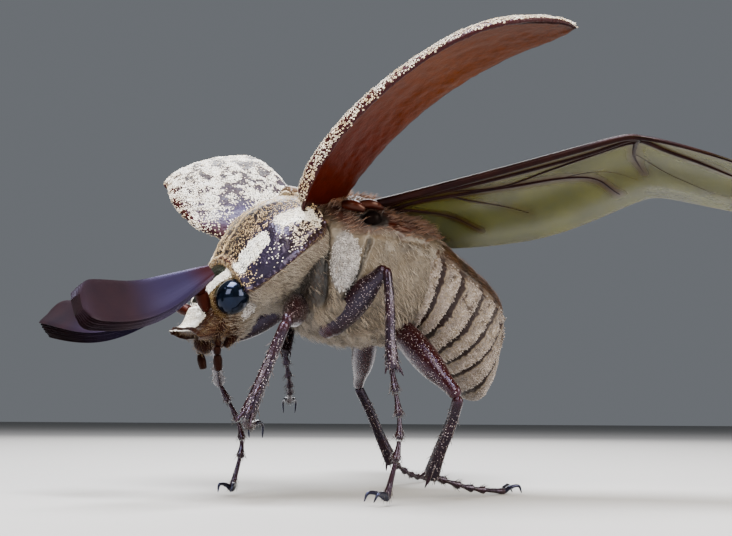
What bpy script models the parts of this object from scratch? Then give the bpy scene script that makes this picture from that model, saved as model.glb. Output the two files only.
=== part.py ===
# June beetle: a male chafer with fan feelers, its wing cases open and wings spread
# Lengths are in millimetres until a mesh is made; the model itself is in metres
import math

import bmesh
import bpy
import numpy as np
from mathutils import Matrix, Vector

MM = 0.001
GAP = 0.3                 # clear space between two pieces that touch
CUT_GAP = 0.36            # offset along vertex normals that leaves the gap beside edges

BODY_HEIGHT = 23.0        # from the floor to the hind edge of the pronotum
BODY_LEAN = 4.0           # the left side is this many degrees lower
NECK_PITCH = 32.7         # prothorax bent down in front
NECK_TURN = 3.9           # and turned to the left
HEAD_PITCH = 25.5         # head bent down from the prothorax
HEAD_ROOT = (7.26, 0.0, -3.2)

ELYTRON_LENGTH = 23.6
ELYTRON_WIDTH = 8.8
ELYTRON_THICKNESS = 0.55
WING_LENGTH = 31.5
WING_CHORD = 11.5
WING_THICKNESS = 0.52
CLUB_WIDTH = 3.4
CLUB_THICKNESS = 2.0
LAMELLAE = 7

MATERIALS = {
    "horn": ((0.055, 0.03, 0.035, 1.0), 0.3),
    "scaled": ((0.42, 0.38, 0.33, 1.0), 0.6),
    "wool": ((0.6, 0.52, 0.42, 1.0), 0.9),
    "eye": ((0.01, 0.01, 0.015, 1.0), 0.08),
    "club": ((0.06, 0.03, 0.05, 1.0), 0.35),
    "case": ((0.25, 0.08, 0.03, 1.0), 0.35),
    "membrane": ((0.35, 0.32, 0.12, 1.0), 0.3),
    "leg": ((0.07, 0.04, 0.05, 1.0), 0.35),
}


# Frames

def turn(axis, degrees):
    return Matrix.Rotation(math.radians(degrees), 4, axis)


def shift(x, y, z):
    return Matrix.Translation((x, y, z))


BODY = shift(0.0, 0.0, BODY_HEIGHT) @ turn("X", -BODY_LEAN)
PROTHORAX = BODY @ turn("Z", NECK_TURN) @ turn("Y", NECK_PITCH)
HEAD = PROTHORAX @ shift(*HEAD_ROOT) @ turn("Y", HEAD_PITCH)


def outward(hinge, side, out, up, roll):
    """A frame at a wing root: x along the wing, y from its inner to its outer edge."""
    mirror = Matrix.Scale(side, 4, (0.0, 1.0, 0.0))
    spread = turn("Z", 180.0 - out) @ turn("Y", -up) @ turn("X", -roll)
    inner = Matrix.Scale(-1.0, 4, (0.0, 1.0, 0.0))
    return BODY @ mirror @ shift(*hinge) @ spread @ inner


# Curves

def smooth(x, table, column):
    """A smooth curve through one column of a table whose first column rises."""
    xs = [row[0] for row in table]
    ys = [row[column] for row in table]
    i = max(0, min(len(xs) - 2, sum(1 for v in xs if v <= x) - 1))
    slopes = []
    for k in (i, i + 1):
        low = max(k - 1, 0)
        high = min(k + 1, len(xs) - 1)
        slopes.append((ys[high] - ys[low]) / (xs[high] - xs[low]))
    span = xs[i + 1] - xs[i]
    t = min(1.0, max(0.0, (x - xs[i]) / span))
    start = (2 * t ** 3 - 3 * t ** 2 + 1) * ys[i] + (t ** 3 - 2 * t ** 2 + t) * span * slopes[0]
    end = (3 * t ** 2 - 2 * t ** 3) * ys[i + 1] + (t ** 3 - t ** 2) * span * slopes[1]
    return start + end


def signed_power(value, power):
    return math.copysign(abs(value) ** power, value)


def oval(angle, half_width, middle, top, bottom, upper, lower):
    """A point of a body's cross-section: y across and z up."""
    bend = upper if math.sin(angle) >= 0.0 else lower
    y = half_width * signed_power(math.cos(angle), 2.0 / bend)
    lift = signed_power(math.sin(angle), 2.0 / bend)
    z = middle + lift * ((top - middle) if lift >= 0.0 else (middle - bottom))
    return y, z


def path_point(points, t):
    """A point at t from 0 to 1 along a smooth curve through the points."""
    count = len(points) - 1
    table = [[k / count] + list(points[k]) for k in range(count + 1)]
    return Vector([smooth(t, table, column) for column in (1, 2, 3)])


def even(count):
    return [k / count for k in range(count + 1)]


# Meshes

def make_object(name, vertices, faces, material):
    mesh = bpy.data.meshes.new(name)
    mesh.from_pydata([(v[0] * MM, v[1] * MM, v[2] * MM) for v in vertices], [], faces)
    body = bpy.data.objects.new(name, mesh)
    bpy.context.scene.collection.objects.link(body)
    mesh.materials.append(material)
    work = bmesh.new()
    work.from_mesh(mesh)
    bmesh.ops.recalc_face_normals(work, faces=work.faces)
    work.to_mesh(mesh)
    work.free()
    return body


def loft(name, rings, material):
    """A closed solid through a row of rings of the same count of points."""
    count = len(rings[0])
    vertices = [point for ring in rings for point in ring]
    faces = []
    for i in range(len(rings) - 1):
        for j in range(count):
            a = i * count + j
            b = i * count + (j + 1) % count
            faces.append((a, b, b + count, a + count))
    for ring_index in (0, len(rings) - 1):
        middle = sum((Vector(p) for p in rings[ring_index]), Vector()) / count
        vertices.append(middle)
        hub = len(vertices) - 1
        for j in range(count):
            a = ring_index * count + j
            b = ring_index * count + (j + 1) % count
            faces.append((a, b, hub))
    return make_object(name, vertices, faces, material)


def body_loft(name, frame, table, stations, sides, material, bow=0.0, step=None):
    """A body section lofted along its frame's x axis from a table of cross-sections."""
    rings = []
    first = table[0][0]
    last = table[-1][0]
    for i in range(stations + 1):
        x = first + (last - first) * i / stations
        width, middle, top, bottom, upper, lower = [smooth(x, table, c) for c in range(1, 7)]
        swell = step(x) if step else 0.0
        ring = []
        for j in range(sides):
            angle = 2.0 * math.pi * (j + 0.5) / sides
            y, z = oval(angle, width + swell, middle, top + swell, bottom - swell, upper, lower)
            ring.append(frame @ Vector((x + bow * (y / width) ** 2, y, z)))
        rings.append(ring)
    return loft(name, rings, material)


def frames_along(points, places, lean=(0.3, 0.2, 1.0)):
    """Centres along a smooth path, each with two directions across it that don't twist."""
    across = None
    frames = []
    for t in places:
        along = path_point(points, min(1.0, t + 0.02)) - path_point(points, max(0.0, t - 0.02))
        along.normalize()
        if across is None:
            across = along.cross(Vector(lean))
        across = (across - along * across.dot(along)).normalized()
        frames.append((path_point(points, t), across, along.cross(across)))
    return frames


def tube_ring(frame, radius, sides, flat=1.0):
    centre, across, other = frame
    ring = []
    for j in range(sides):
        angle = 2.0 * math.pi * j / sides
        ring.append(centre + (across * math.cos(angle) * flat + other * math.sin(angle)) * radius)
    return ring


def limb(name, points, radii, material, sides=8, stations=8, flat=1.0):
    """A tapering limb along a smooth path; flat narrows it one way across."""
    table = [[k / (len(radii) - 1), radii[k]] for k in range(len(radii))]
    places = even(stations)
    rings = []
    for t, frame in zip(places, frames_along(points, places)):
        rings.append(tube_ring(frame, max(0.03, smooth(t, table, 1)), sides, flat))
    return loft(name, rings, material)


def ball(name, frame, centre, radii, material, segments=16, rings=9):
    work = bmesh.new()
    bmesh.ops.create_uvsphere(work, u_segments=segments, v_segments=rings, radius=1.0)
    vertices = []
    for vertex in work.verts:
        local = Vector([centre[k] + vertex.co[k] * radii[k] for k in range(3)])
        vertices.append(frame @ local)
    faces = [tuple(v.index for v in face.verts) for face in work.faces]
    work.free()
    return make_object(name, vertices, faces, material)


def sheet(name, frame, surface, us, vs, thickness, material, relief=None):
    """A thin shell: one grid of points pushed to both sides of a surface, cut alike on both."""
    columns = len(us) - 1
    rows = len(vs) - 1
    points = [[surface(u, v) for v in vs] for u in us]
    upper = []
    lower = []
    for i, u in enumerate(us):
        for j, v in enumerate(vs):
            along = points[min(i + 1, columns)][j] - points[max(i - 1, 0)][j]
            across = points[i][min(j + 1, rows)] - points[i][max(j - 1, 0)]
            normal = along.cross(across).normalized()
            half = thickness / 2.0 + (relief(u, v) if relief else 0.0)
            upper.append(frame @ (points[i][j] + normal * half))
            lower.append(frame @ (points[i][j] - normal * half))
    total = len(upper)
    faces = []
    for i in range(columns):
        for j in range(rows):
            a = i * (rows + 1) + j
            b = a + rows + 1
            faces.append((a, b, a + 1))
            faces.append((a + 1, b, b + 1))
            faces.append((total + a, total + a + 1, total + b))
            faces.append((total + a + 1, total + b + 1, total + b))
    rim = [i * (rows + 1) for i in range(columns + 1)]
    rim += [columns * (rows + 1) + j for j in range(1, rows + 1)]
    rim += [i * (rows + 1) + rows for i in range(columns - 1, -1, -1)]
    rim += [j for j in range(rows - 1, 0, -1)]
    for k in range(len(rim)):
        a = rim[k]
        b = rim[(k + 1) % len(rim)]
        faces.append((a, b, total + b, total + a))
    return make_object(name, upper + lower, faces, material)


# Solid work

def apply_modifier(body, modifier):
    bpy.context.view_layer.update()
    graph = bpy.context.evaluated_depsgraph_get()
    result = bpy.data.meshes.new_from_object(body.evaluated_get(graph))
    body.modifiers.remove(modifier)
    old = body.data
    body.data = result
    result.name = body.name
    bpy.data.meshes.remove(old)


def grown_copy(body, amount):
    """A copy pushed out along its vertex normals, used as a cutter."""
    copy = body.copy()
    copy.data = body.data.copy()
    bpy.context.scene.collection.objects.link(copy)
    normals = [vertex.normal.copy() for vertex in copy.data.vertices]
    for vertex, normal in zip(copy.data.vertices, normals):
        vertex.co += normal * (amount * MM)
    return copy


def carve(target, cutters, amount=CUT_GAP):
    """Cuts the room of the cutters, and the gap round them, out of the target."""
    for cutter in cutters:
        tool = grown_copy(cutter, amount)
        modifier = target.modifiers.new("carve", "BOOLEAN")
        modifier.operation = "DIFFERENCE"
        modifier.solver = "EXACT"
        modifier.object = tool
        apply_modifier(target, modifier)
        bpy.data.objects.remove(tool, do_unlink=True)
    keep_largest(target)


def fuse(core, pieces):
    """Joins pieces to the core in one Boolean union, which is applied."""
    group = bpy.data.collections.new("pieces")
    for piece in pieces:
        group.objects.link(piece)
    modifier = core.modifiers.new("fuse", "BOOLEAN")
    modifier.operation = "UNION"
    modifier.solver = "EXACT"
    modifier.operand_type = "COLLECTION"
    modifier.collection = group
    apply_modifier(core, modifier)
    for piece in pieces:
        bpy.data.objects.remove(piece, do_unlink=True)
    bpy.data.collections.remove(group)
    keep_largest(core)


def keep_largest(body):
    """Leaves only the largest closed surface of a node."""
    work = bmesh.new()
    work.from_mesh(body.data)
    bmesh.ops.remove_doubles(work, verts=work.verts, dist=0.000002)
    islands = []
    seen = set()
    for start in work.faces:
        if start in seen:
            continue
        island = []
        stack = [start]
        seen.add(start)
        while stack:
            face = stack.pop()
            island.append(face)
            for edge in face.edges:
                for near in edge.link_faces:
                    if near not in seen:
                        seen.add(near)
                        stack.append(near)
        islands.append(island)
    islands.sort(key=lambda faces: sum(face.calc_area() for face in faces), reverse=True)
    scraps = [face for island in islands[1:] for face in island]
    bmesh.ops.delete(work, geom=scraps, context="FACES")
    bmesh.ops.triangulate(work, faces=work.faces)
    bmesh.ops.recalc_face_normals(work, faces=work.faces)
    work.to_mesh(body.data)
    work.free()


def trim(body, point, direction):
    """Cuts away what lies beyond a plane and closes the cut with a flat face."""
    work = bmesh.new()
    work.from_mesh(body.data)
    geometry = work.verts[:] + work.edges[:] + work.faces[:]
    cut = bmesh.ops.bisect_plane(
        work, geom=geometry, dist=0.000001,
        plane_co=Vector(point) * MM, plane_no=Vector(direction), clear_outer=True)
    edges = [item for item in cut["geom_cut"] if isinstance(item, bmesh.types.BMEdge)]
    bmesh.ops.contextual_create(work, geom=edges)
    bmesh.ops.triangulate(work, faces=work.faces)
    bmesh.ops.recalc_face_normals(work, faces=work.faces)
    work.to_mesh(body.data)
    work.free()


# Body sections

PRONOTUM = [   # x, half width, margin height, top, bottom, roundness above, roundness below
    (-0.3, 5.3, -2.7, -0.15, -6.4, 2.3, 2.2),
    (0.4, 5.75, -3.1, 0.15, -7.2, 2.3, 1.9),
    (1.8, 6.25, -3.7, 0.35, -7.7, 2.2, 1.5),
    (3.6, 6.4, -4.2, 0.15, -7.7, 2.1, 1.35),
    (5.2, 5.5, -4.4, -0.55, -7.3, 2.1, 1.4),
    (6.4, 4.6, -4.4, -1.3, -6.8, 2.1, 1.7),
    (7.1, 3.9, -4.3, -1.8, -6.2, 2.1, 2.0),
]

HEAD_SHAPE = [
    (-1.6, 2.3, -1.1, 0.5, -2.7, 2.2, 2.2),
    (-0.4, 3.0, -1.0, 1.0, -3.3, 2.3, 2.2),
    (1.2, 3.1, -0.9, 1.15, -3.5, 2.5, 2.2),
    (2.4, 2.75, -0.7, 0.95, -3.6, 3.0, 2.2),
    (3.3, 2.5, -0.4, 0.6, -3.3, 3.6, 2.0),
    (4.3, 2.6, -0.3, 0.35, -1.9, 4.0, 2.4),
    (5.1, 2.75, 0.0, 0.5, -0.7, 4.5, 3.5),
    (5.4, 2.7, 0.1, 0.55, -0.35, 4.5, 4.0),
]

THORAX = [
    (-11.0, 5.9, -4.6, -1.3, -9.9, 2.3, 2.3),
    (-9.3, 6.2, -4.6, -0.5, -10.7, 2.3, 2.3),
    (-7.3, 6.3, -4.6, 0.15, -11.1, 2.3, 2.3),
    (-5.2, 6.2, -4.6, 0.2, -11.1, 2.3, 2.3),
    (-3.0, 5.7, -4.6, -0.1, -10.6, 2.4, 2.3),
    (-1.2, 4.7, -4.4, -0.35, -9.4, 2.4, 2.3),
    (0.8, 3.9, -4.4, -1.0, -8.2, 2.4, 2.3),
]

ABDOMEN = [
    (-18.6, 3.2, -9.6, -7.2, -14.9, 2.0, 2.0),
    (-18.0, 4.6, -8.9, -6.2, -15.4, 2.1, 2.0),
    (-16.9, 5.5, -8.2, -5.4, -15.0, 2.2, 2.1),
    (-15.0, 6.1, -7.2, -4.3, -13.9, 2.3, 2.2),
    (-12.8, 6.3, -6.0, -2.9, -12.3, 2.3, 2.2),
    (-10.6, 6.2, -5.0, -1.5, -10.9, 2.3, 2.2),
    (-9.0, 5.6, -4.8, -1.2, -10.2, 2.3, 2.2),
]
SEGMENT_EDGES = [-16.9, -15.4, -14.0, -12.7, -11.5]
SEGMENT_STEP = 0.22


def abdomen_step(x):
    """Each ring of the abdomen is widest at its hind edge and dips at the next one."""
    edges = [-18.6] + SEGMENT_EDGES + [-9.0]
    for rear, front in zip(edges, edges[1:]):
        if rear <= x <= front:
            return SEGMENT_STEP * (1.0 - (x - rear) / (front - rear)) - SEGMENT_STEP / 2.0
    return 0.0


def make_prothorax(materials):
    return body_loft("prothorax", PROTHORAX, PRONOTUM, 11, 24, materials["horn"], bow=0.6)


def make_head(materials):
    return body_loft("head", HEAD, HEAD_SHAPE, 12, 22, materials["horn"])


def make_thorax(materials):
    return body_loft("thorax", BODY, THORAX, 9, 20, materials["wool"])


def make_abdomen(materials):
    return body_loft("abdomen", BODY, ABDOMEN, 22, 22, materials["scaled"], step=abdomen_step)


PYGIDIUM_PLANE = (-17.3, 0.0, -10.0)
PYGIDIUM_NORMAL = (-1.0, 0.0, -0.12)


def part_pygidium(abdomen, materials):
    """The last plate of the abdomen, parted from it by a thin flat cut."""
    normal = (BODY.to_3x3() @ Vector(PYGIDIUM_NORMAL)).normalized()
    point = BODY @ Vector(PYGIDIUM_PLANE)
    plate = abdomen.copy()
    plate.data = abdomen.data.copy()
    plate.name = "pygidium"
    plate.data.name = "pygidium"
    bpy.context.scene.collection.objects.link(plate)
    plate.data.materials.clear()
    plate.data.materials.append(materials["scaled"])
    trim(abdomen, point - normal * GAP / 2.0, normal)
    trim(plate, point + normal * GAP / 2.0, -normal)
    return plate


SCUTELLUM_LENGTH = 3.2
SCUTELLUM_HALF = 1.35


def make_scutellum(materials):
    def surface(u, v):
        half = SCUTELLUM_HALF * (1.0 - u ** 2.2) ** 0.8 + 0.12
        y = half * (2.0 * v - 1.0)
        x = -0.1 - SCUTELLUM_LENGTH * u
        return Vector((x, y, 0.45 - 0.12 * y * y - 0.25 * u))
    return sheet("scutellum", BODY, surface, even(6), even(6), 0.55, materials["scaled"])


# Eyes, feelers and palps

EYE_CENTRE = (1.6, 2.95, -0.6)
EYE_RADII = (1.25, 1.15, 1.6)


def make_eye(side, materials):
    centre = (EYE_CENTRE[0], EYE_CENTRE[1] * side, EYE_CENTRE[2])
    name = "eye_left" if side > 0 else "eye_right"
    return ball(name, HEAD, centre, EYE_RADII, materials["eye"], segments=18, rings=10)


CLUB_BASE = {1: (6.4, 3.7, -6.6), -1: (7.2, -3.6, -8.6)}
CLUB_TIP = {1: (15.9, 7.0, -9.5), -1: (15.4, -11.5, -9.9)}
CLUB_BEND = {1: (0.0, -0.8, -0.96), -1: (1.28, 2.24, -0.96)}
CLUB_FACE = {1: (0.15, 0.45, 0.75), -1: (0.1, -0.35, 0.85)}
SCAPE_ROOT = (3.3, 2.0, 0.2)
SCAPE_KNEE = {1: (2.4, 2.3, 1.6), -1: (3.15, -3.3, 0.9)}   # in the head's frame


CLUB_OUTLINE = [(0.0, 0.25), (0.12, 0.55), (0.35, 0.9), (0.65, 1.0), (0.88, 0.92), (1.0, 0.45)]
CLUB_STATIONS = 11
BLADE_NOTCH = 0.12


def club_ring(centre, along, face, width, thickness, notch):
    """A cross-section of the closed fan: two broad faces and edges of seven blades."""
    across = along.cross(face).normalized()
    up = across.cross(along).normalized()
    ring = []
    half = thickness / 2.0
    for side in (1.0, -1.0):
        for k in range(LAMELLAE * 2 + 1):
            height = half * (1.0 - k / LAMELLAE) * side
            inset = notch if k % 2 == 0 else 0.0
            edge = width / 2.0 * math.sqrt(1.0 - (height / (half * 1.35)) ** 2) - inset
            ring.append(centre + up * height + across * edge * side)
    return ring


def club_solid(name, side, grow, notch, material):
    """The fan of blades from base to tip, or with grow the room that it needs."""
    base = Vector(CLUB_BASE[side])
    tip = Vector(CLUB_TIP[side])
    middle = (base + tip) / 2.0 + Vector(CLUB_BEND[side])
    points = [BODY @ base, BODY @ middle, BODY @ tip]
    face = BODY.to_3x3() @ Vector(CLUB_FACE[side])
    rings = []
    for i in range(CLUB_STATIONS + 1):
        t = i / CLUB_STATIONS
        along = path_point(points, min(1.0, t + 0.03)) - path_point(points, max(0.0, t - 0.03))
        along.normalize()
        size = smooth(t, CLUB_OUTLINE, 1)
        width = CLUB_WIDTH * size + 2.0 * grow
        thickness = CLUB_THICKNESS * (0.45 + 0.55 * size) + 2.0 * grow
        centre = path_point(points, t)
        if i == 0 and grow:
            rings.append(club_ring(centre - along * grow, along, face, width, thickness, notch))
        rings.append(club_ring(centre, along, face, width, thickness, notch))
    return loft(name, rings, material)


def make_club(side, materials):
    name = "club_left" if side > 0 else "club_right"
    return club_solid(name, side, 0.0, BLADE_NOTCH, materials["club"])


def make_antenna(side, materials):
    """The scape and the short stalk, which ends against the root of the club."""
    root = HEAD @ Vector((SCAPE_ROOT[0], SCAPE_ROOT[1] * side, SCAPE_ROOT[2]))
    knee = HEAD @ Vector(SCAPE_KNEE[side])
    club = BODY @ Vector(CLUB_BASE[side])
    reach = (BODY @ Vector(CLUB_TIP[side]) - club).normalized()
    name = "antenna_left" if side > 0 else "antenna_right"
    points = [root, knee, club + reach * GAP]
    stalk = limb(name, points, [0.4, 0.44, 0.4], materials["leg"], sides=9, stations=7)
    room = club_solid("room", side, GAP, 0.0, materials["club"])
    carve(stalk, [room], 0.0)
    bpy.data.objects.remove(room, do_unlink=True)
    return stalk


PALP_ROOT = (4.0, 1.5, -1.6)
PALP_TIP = (6.3, 1.7, -3.0)


def make_palp(side, materials):
    root = Vector((PALP_ROOT[0], PALP_ROOT[1] * side, PALP_ROOT[2]))
    tip = Vector((PALP_TIP[0], PALP_TIP[1] * side, PALP_TIP[2]))
    middle = (root + tip) / 2.0 + Vector((0.0, 0.35 * side, 0.3))
    points = [HEAD @ root, HEAD @ middle, HEAD @ tip]
    name = "palp_left" if side > 0 else "palp_right"
    return limb(name, points, [0.28, 0.3, 0.36, 0.22], materials["leg"], sides=7, stations=7)


# Wing cases and wings

ELYTRON_HINGE = {1: (-0.8, 3.9, -1.0), -1: (-0.8, 4.7, -2.3)}
ELYTRON_SPREAD = {1: (45.7, 34.7, 9.9), -1: (94.8, 22.3, -12.0)}   # degrees out, up and rolled
ELYTRON_BEND = 53.0       # from base to tip
ELYTRON_WRAP = 43.0       # from the inner edge to the outer one
ELYTRON_INNER = 3.6       # from the hinge in to the inner edge
ELYTRON_TIP = 0.66        # where the outer edge starts to round in to the tip
INNER_CORNER = 0.86       # where the inner edge does
ARC_STEPS = 10


def elytron_width(u):
    belly = 0.74 + 0.26 * math.sin(math.pi * (0.14 + 0.66 * u))
    shoulder = 1.0 - 0.2 * (1.0 - u) ** 14
    beyond = max(0.0, (u - ELYTRON_TIP) / (1.0 - ELYTRON_TIP))
    return ELYTRON_WIDTH * belly * shoulder * math.sqrt(max(0.0, 1.0 - beyond ** 2.1))


def elytron_surface(u, v):
    """u along the wing case, v from its inner edge to its outer edge, both bent as arcs."""
    bend = math.radians(ELYTRON_BEND)
    wrap = math.radians(ELYTRON_WRAP)
    x = y = rise = fall = 0.0
    for k in range(ARC_STEPS):
        part = (k + 0.5) / ARC_STEPS
        pitch = bend * (0.5 - part * u)
        slope = wrap * (part * v) ** 2
        x += math.cos(pitch) * u / ARC_STEPS
        rise += math.sin(pitch) * u / ARC_STEPS
        y += math.cos(slope) * v / ARC_STEPS
        fall += math.sin(slope) * v / ARC_STEPS
    corner = 0.8 * max(0.0, (u - INNER_CORNER) / (1.0 - INNER_CORNER)) ** 2.5
    width = elytron_width(u) - corner
    across = corner - ELYTRON_INNER + width * y
    return Vector((ELYTRON_LENGTH * x, across, ELYTRON_LENGTH * rise - width * fall))


def rounded_columns(start, plain, curved, last_angle):
    """Columns along a wing: even ones up to the start of its tip, and closer ones round the tip."""
    columns = [start * k / plain for k in range(plain)]
    for k in range(curved + 1):
        angle = math.radians(last_angle) * k / curved
        columns.append(start + (1.0 - start) * math.sin(angle))
    return columns


def make_elytron(side, materials):
    out, up, roll = ELYTRON_SPREAD[side]
    frame = outward(ELYTRON_HINGE[side], side, out, up, roll)
    name = "elytron_left" if side > 0 else "elytron_right"
    columns = rounded_columns(ELYTRON_TIP, 10, 8, 80.0)
    return sheet(name, frame, elytron_surface, columns, even(8), ELYTRON_THICKNESS, materials["case"])


WING_HINGE = (-5.3, 5.0, -1.9)
WING_SPREAD = {1: (42.0, 17.5, 14.0), -1: (68.0, 5.0, 8.0)}
FOLD_AT = 0.63
FOLD_SOFTNESS = 0.03
FOLD_DROP = 0.66
FOLD_SWEEP = 10.0
WING_TIP = 0.74
VEINS = (0.05, 0.16, 0.34, 0.54, 0.76)
VEIN_HALF = 0.025
VEIN_FAN = 0.45           # how far the veins bunch towards the front edge at the root
VEIN_RAISE = 0.16
ROOT_SHARE = 0.4          # the part of a wing that can reach into the body


def wing_surface(u, v):
    """u along the wing, v from its front edge to its hind edge; the veins fan out from the root."""
    far = u - FOLD_AT
    beyond = (far + math.sqrt(far * far + FOLD_SOFTNESS ** 2)) / 2.0
    swell = math.sin(math.pi * min(1.0, 0.05 + 0.8 * u ** 0.75)) ** 0.6
    tip = math.sqrt(max(0.0, 1.0 - max(0.0, (u - WING_TIP) / (1.0 - WING_TIP)) ** 2.2))
    whole = WING_CHORD * (0.12 + 0.88 * swell)
    chord = whole * (0.05 + 0.95 * tip)
    front = 0.3 * (whole - chord)
    place = v - VEIN_FAN * (1.0 - u) * v * (1.0 - v)
    wave = 0.25 * math.sin(2.0 * math.pi * place) * math.sin(math.pi * u)
    y = -FOLD_SWEEP * beyond ** 1.2 - front - chord * place
    return Vector((WING_LENGTH * u, y, wave - FOLD_DROP * beyond * WING_LENGTH))


def wing_relief(u, v):
    """The veins stand up from the membrane and thin out towards the tip."""
    strength = VEIN_RAISE * (1.0 - 0.6 * u)
    near = min(abs(v - vein) for vein in VEINS)
    return strength if near < 0.001 else 0.0


def make_wing(side, materials):
    out, up, roll = WING_SPREAD[side]
    frame = outward(WING_HINGE, side, out, up, roll)
    rows = [0.0]
    for vein in VEINS:
        rows += [vein - VEIN_HALF, vein, vein + VEIN_HALF]
    rows.append(1.0)
    name = "hindwing_left" if side > 0 else "hindwing_right"
    columns = rounded_columns(WING_TIP, 13, 5, 78.0)
    return sheet(name, frame, wing_surface, columns, rows, WING_THICKNESS, materials["membrane"],
                 relief=wing_relief)


def wing_room(side, materials):
    """A plain thick slab round the root of a wing, which cuts its socket in the body."""
    out, up, roll = WING_SPREAD[side]
    frame = outward(WING_HINGE, side, out, up, roll)

    def surface(u, v):
        flat = wing_surface(ROOT_SHARE * u, v)
        return Vector((flat.x - GAP * (1.0 - u), flat.y + GAP * (1.0 - 2.0 * v), flat.z))
    thickness = WING_THICKNESS + 2.0 * (VEIN_RAISE + GAP)
    return sheet("room", frame, surface, even(6), even(5), thickness, materials["membrane"])


# Legs: hip, knee, ankle and toe of each, the hip in the body's frame and the rest above the floor

LEGS = {
    "fore_left": ((-1.2, 1.72, -8.34), (1.49, 5.66, 12.65), (3.94, 4.89, 6.02), (1.9, -0.1, 5.5)),
    "fore_right": ((-0.95, -1.87, -8.34), (4.02, -4.04, 11.59), (2.3, -8.51, 8.91), (1.9, -5.5, 0.2)),
    "mid_left": ((-3.5, 2.5, -9.8), (-5.52, 7.41, 16.74), (-6.03, 7.22, 9.55), (-5.2, 8.0, 0.2)),
    "mid_right": ((-3.5, -2.5, -9.8), (-5.0, -9.02, 17.32), (-2.4, -5.73, 11.37), (-4.6, -10.6, 7.4)),
    "hind_left": ((-9.0, 3.2, -10.0), (-10.91, 8.22, 7.56), (-11.35, 2.97, 1.7), (-19.5, 0.5, 0.2)),
    "hind_right": ((-9.0, -3.2, -10.0), (-10.91, -10.3, 8.85), (-15.5, -13.0, 2.2), (-22.0, -18.0, 0.2)),
}
LEG_SIZE = {"fore": 0.95, "mid": 1.0, "hind": 1.08}
STANDING = ("fore_right", "mid_left", "hind_left", "hind_right")
TARSUS_SAG = {
    "fore_left": (0.3, 0.3, -0.3), "fore_right": (-1.5, -0.4, 0.0), "mid_left": (-0.6, 0.5, 0.0),
    "mid_right": (0.0, 0.6, -0.6), "hind_left": (0.0, 0.0, -0.3), "hind_right": (0.0, 0.0, -0.4),
}
CLAW_LENGTH = 1.3
TARSUS_RADIUS = 0.3
TARSUS_CUTS = (0.0, 0.2, 0.38, 0.55, 0.71, 1.0)


def make_femur(leg, size, hip, knee, materials):
    inward = (hip - knee).normalized()
    points = [hip + inward * 0.6, (hip * 2 + knee) / 3, (hip + knee * 2) / 3, knee]
    radii = [0.75 * size, 1.0 * size, 1.15 * size, 1.0 * size, 0.62 * size, 0.5 * size]
    return limb("femur_" + leg, points, radii, materials["leg"], sides=9, stations=7, flat=0.75)


def make_shin(leg, size, knee, ankle, materials):
    reach = (ankle - knee).normalized()
    bulge = reach.cross(Vector((0.0, 0.0, 1.0))).normalized() * 0.12
    points = [knee + reach * 0.2, (knee * 2 + ankle) / 3 + bulge, (knee + ankle * 2) / 3, ankle + reach * 0.4]
    radii = [0.42 * size, 0.42 * size, 0.44 * size, 0.5 * size, 0.6 * size]
    return limb("tibia_" + leg, points, radii, materials["leg"], sides=8, stations=6, flat=0.8)


def add_spurs(shin, leg, knee, ankle, toe, materials):
    """Spurs stand on the side that the foot bends away from; fore shins have teeth too."""
    reach = (ankle - knee).normalized()
    side = (ankle - toe).cross(reach).cross(-reach).normalized()
    spurs = []
    for angle in (40.0, -40.0):
        swing = Matrix.Rotation(math.radians(angle), 4, reach) @ side
        root = ankle - reach * 0.6 + swing * 0.2
        tip = ankle + reach * 0.6 + swing * 0.85
        spurs.append(limb("spur", [root, (root + tip) / 2, tip], [0.22, 0.17, 0.04],
                          materials["leg"], sides=4, stations=2))
    if leg.startswith("fore"):
        for place in (0.70, 0.90):
            root = knee.lerp(ankle, place) + side * 0.1
            tip = root + side * 0.95 + reach * 0.55
            spurs.append(limb("tooth", [root, (root + tip) / 2, tip], [0.34, 0.24, 0.06],
                              materials["leg"], sides=4, stations=2))
    fuse(shin, spurs)


def foot_path(leg, ankle, toe):
    return [ankle, (ankle + toe) / 2.0 + Vector(TARSUS_SAG[leg]), toe]


def make_tarsus(leg, ankle, toe, materials):
    """Five short segments, each wider at its end, and two curved claws."""
    points = foot_path(leg, ankle, toe)
    places = []
    radii = []
    for first, last in zip(TARSUS_CUTS, TARSUS_CUTS[1:]):
        for part, scale in ((0.06, 0.8), (0.9, 1.12)):
            places.append(first + (last - first) * part)
            radii.append(TARSUS_RADIUS * scale)
    rings = [tube_ring(frame, radius, 6) for frame, radius in zip(frames_along(points, places), radii)]
    foot = loft("tarsus_" + leg, rings, materials["leg"])
    claws = []
    end = path_point(points, 0.96)
    ahead = (path_point(points, 1.0) - path_point(points, 0.9)).normalized()
    flat = Vector((ahead.x, ahead.y, 0.0))
    if flat.length < 0.25:
        flat = Vector((1.0, 0.3, 0.0))
    flat.normalize()
    spread = Vector((-flat.y, flat.x, 0.0))
    drop = 0.05 if leg in STANDING else 0.9
    for hand in (1.0, -1.0):
        root = end + spread * hand * 0.07
        bend = end + flat * CLAW_LENGTH * 0.5 + spread * hand * 0.6 + Vector((0.0, 0.0, 0.3 - drop * 0.4))
        tip = end + flat * CLAW_LENGTH + spread * hand * 0.8 - Vector((0.0, 0.0, drop))
        claws.append(limb("claw", [root, bend, tip], [0.2, 0.2, 0.15, 0.05],
                          materials["leg"], sides=5, stations=4))
    fuse(foot, claws)
    if leg in STANDING:
        trim(foot, (0.0, 0.0, 0.0), (0.0, 0.0, -1.0))
    return foot


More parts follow.
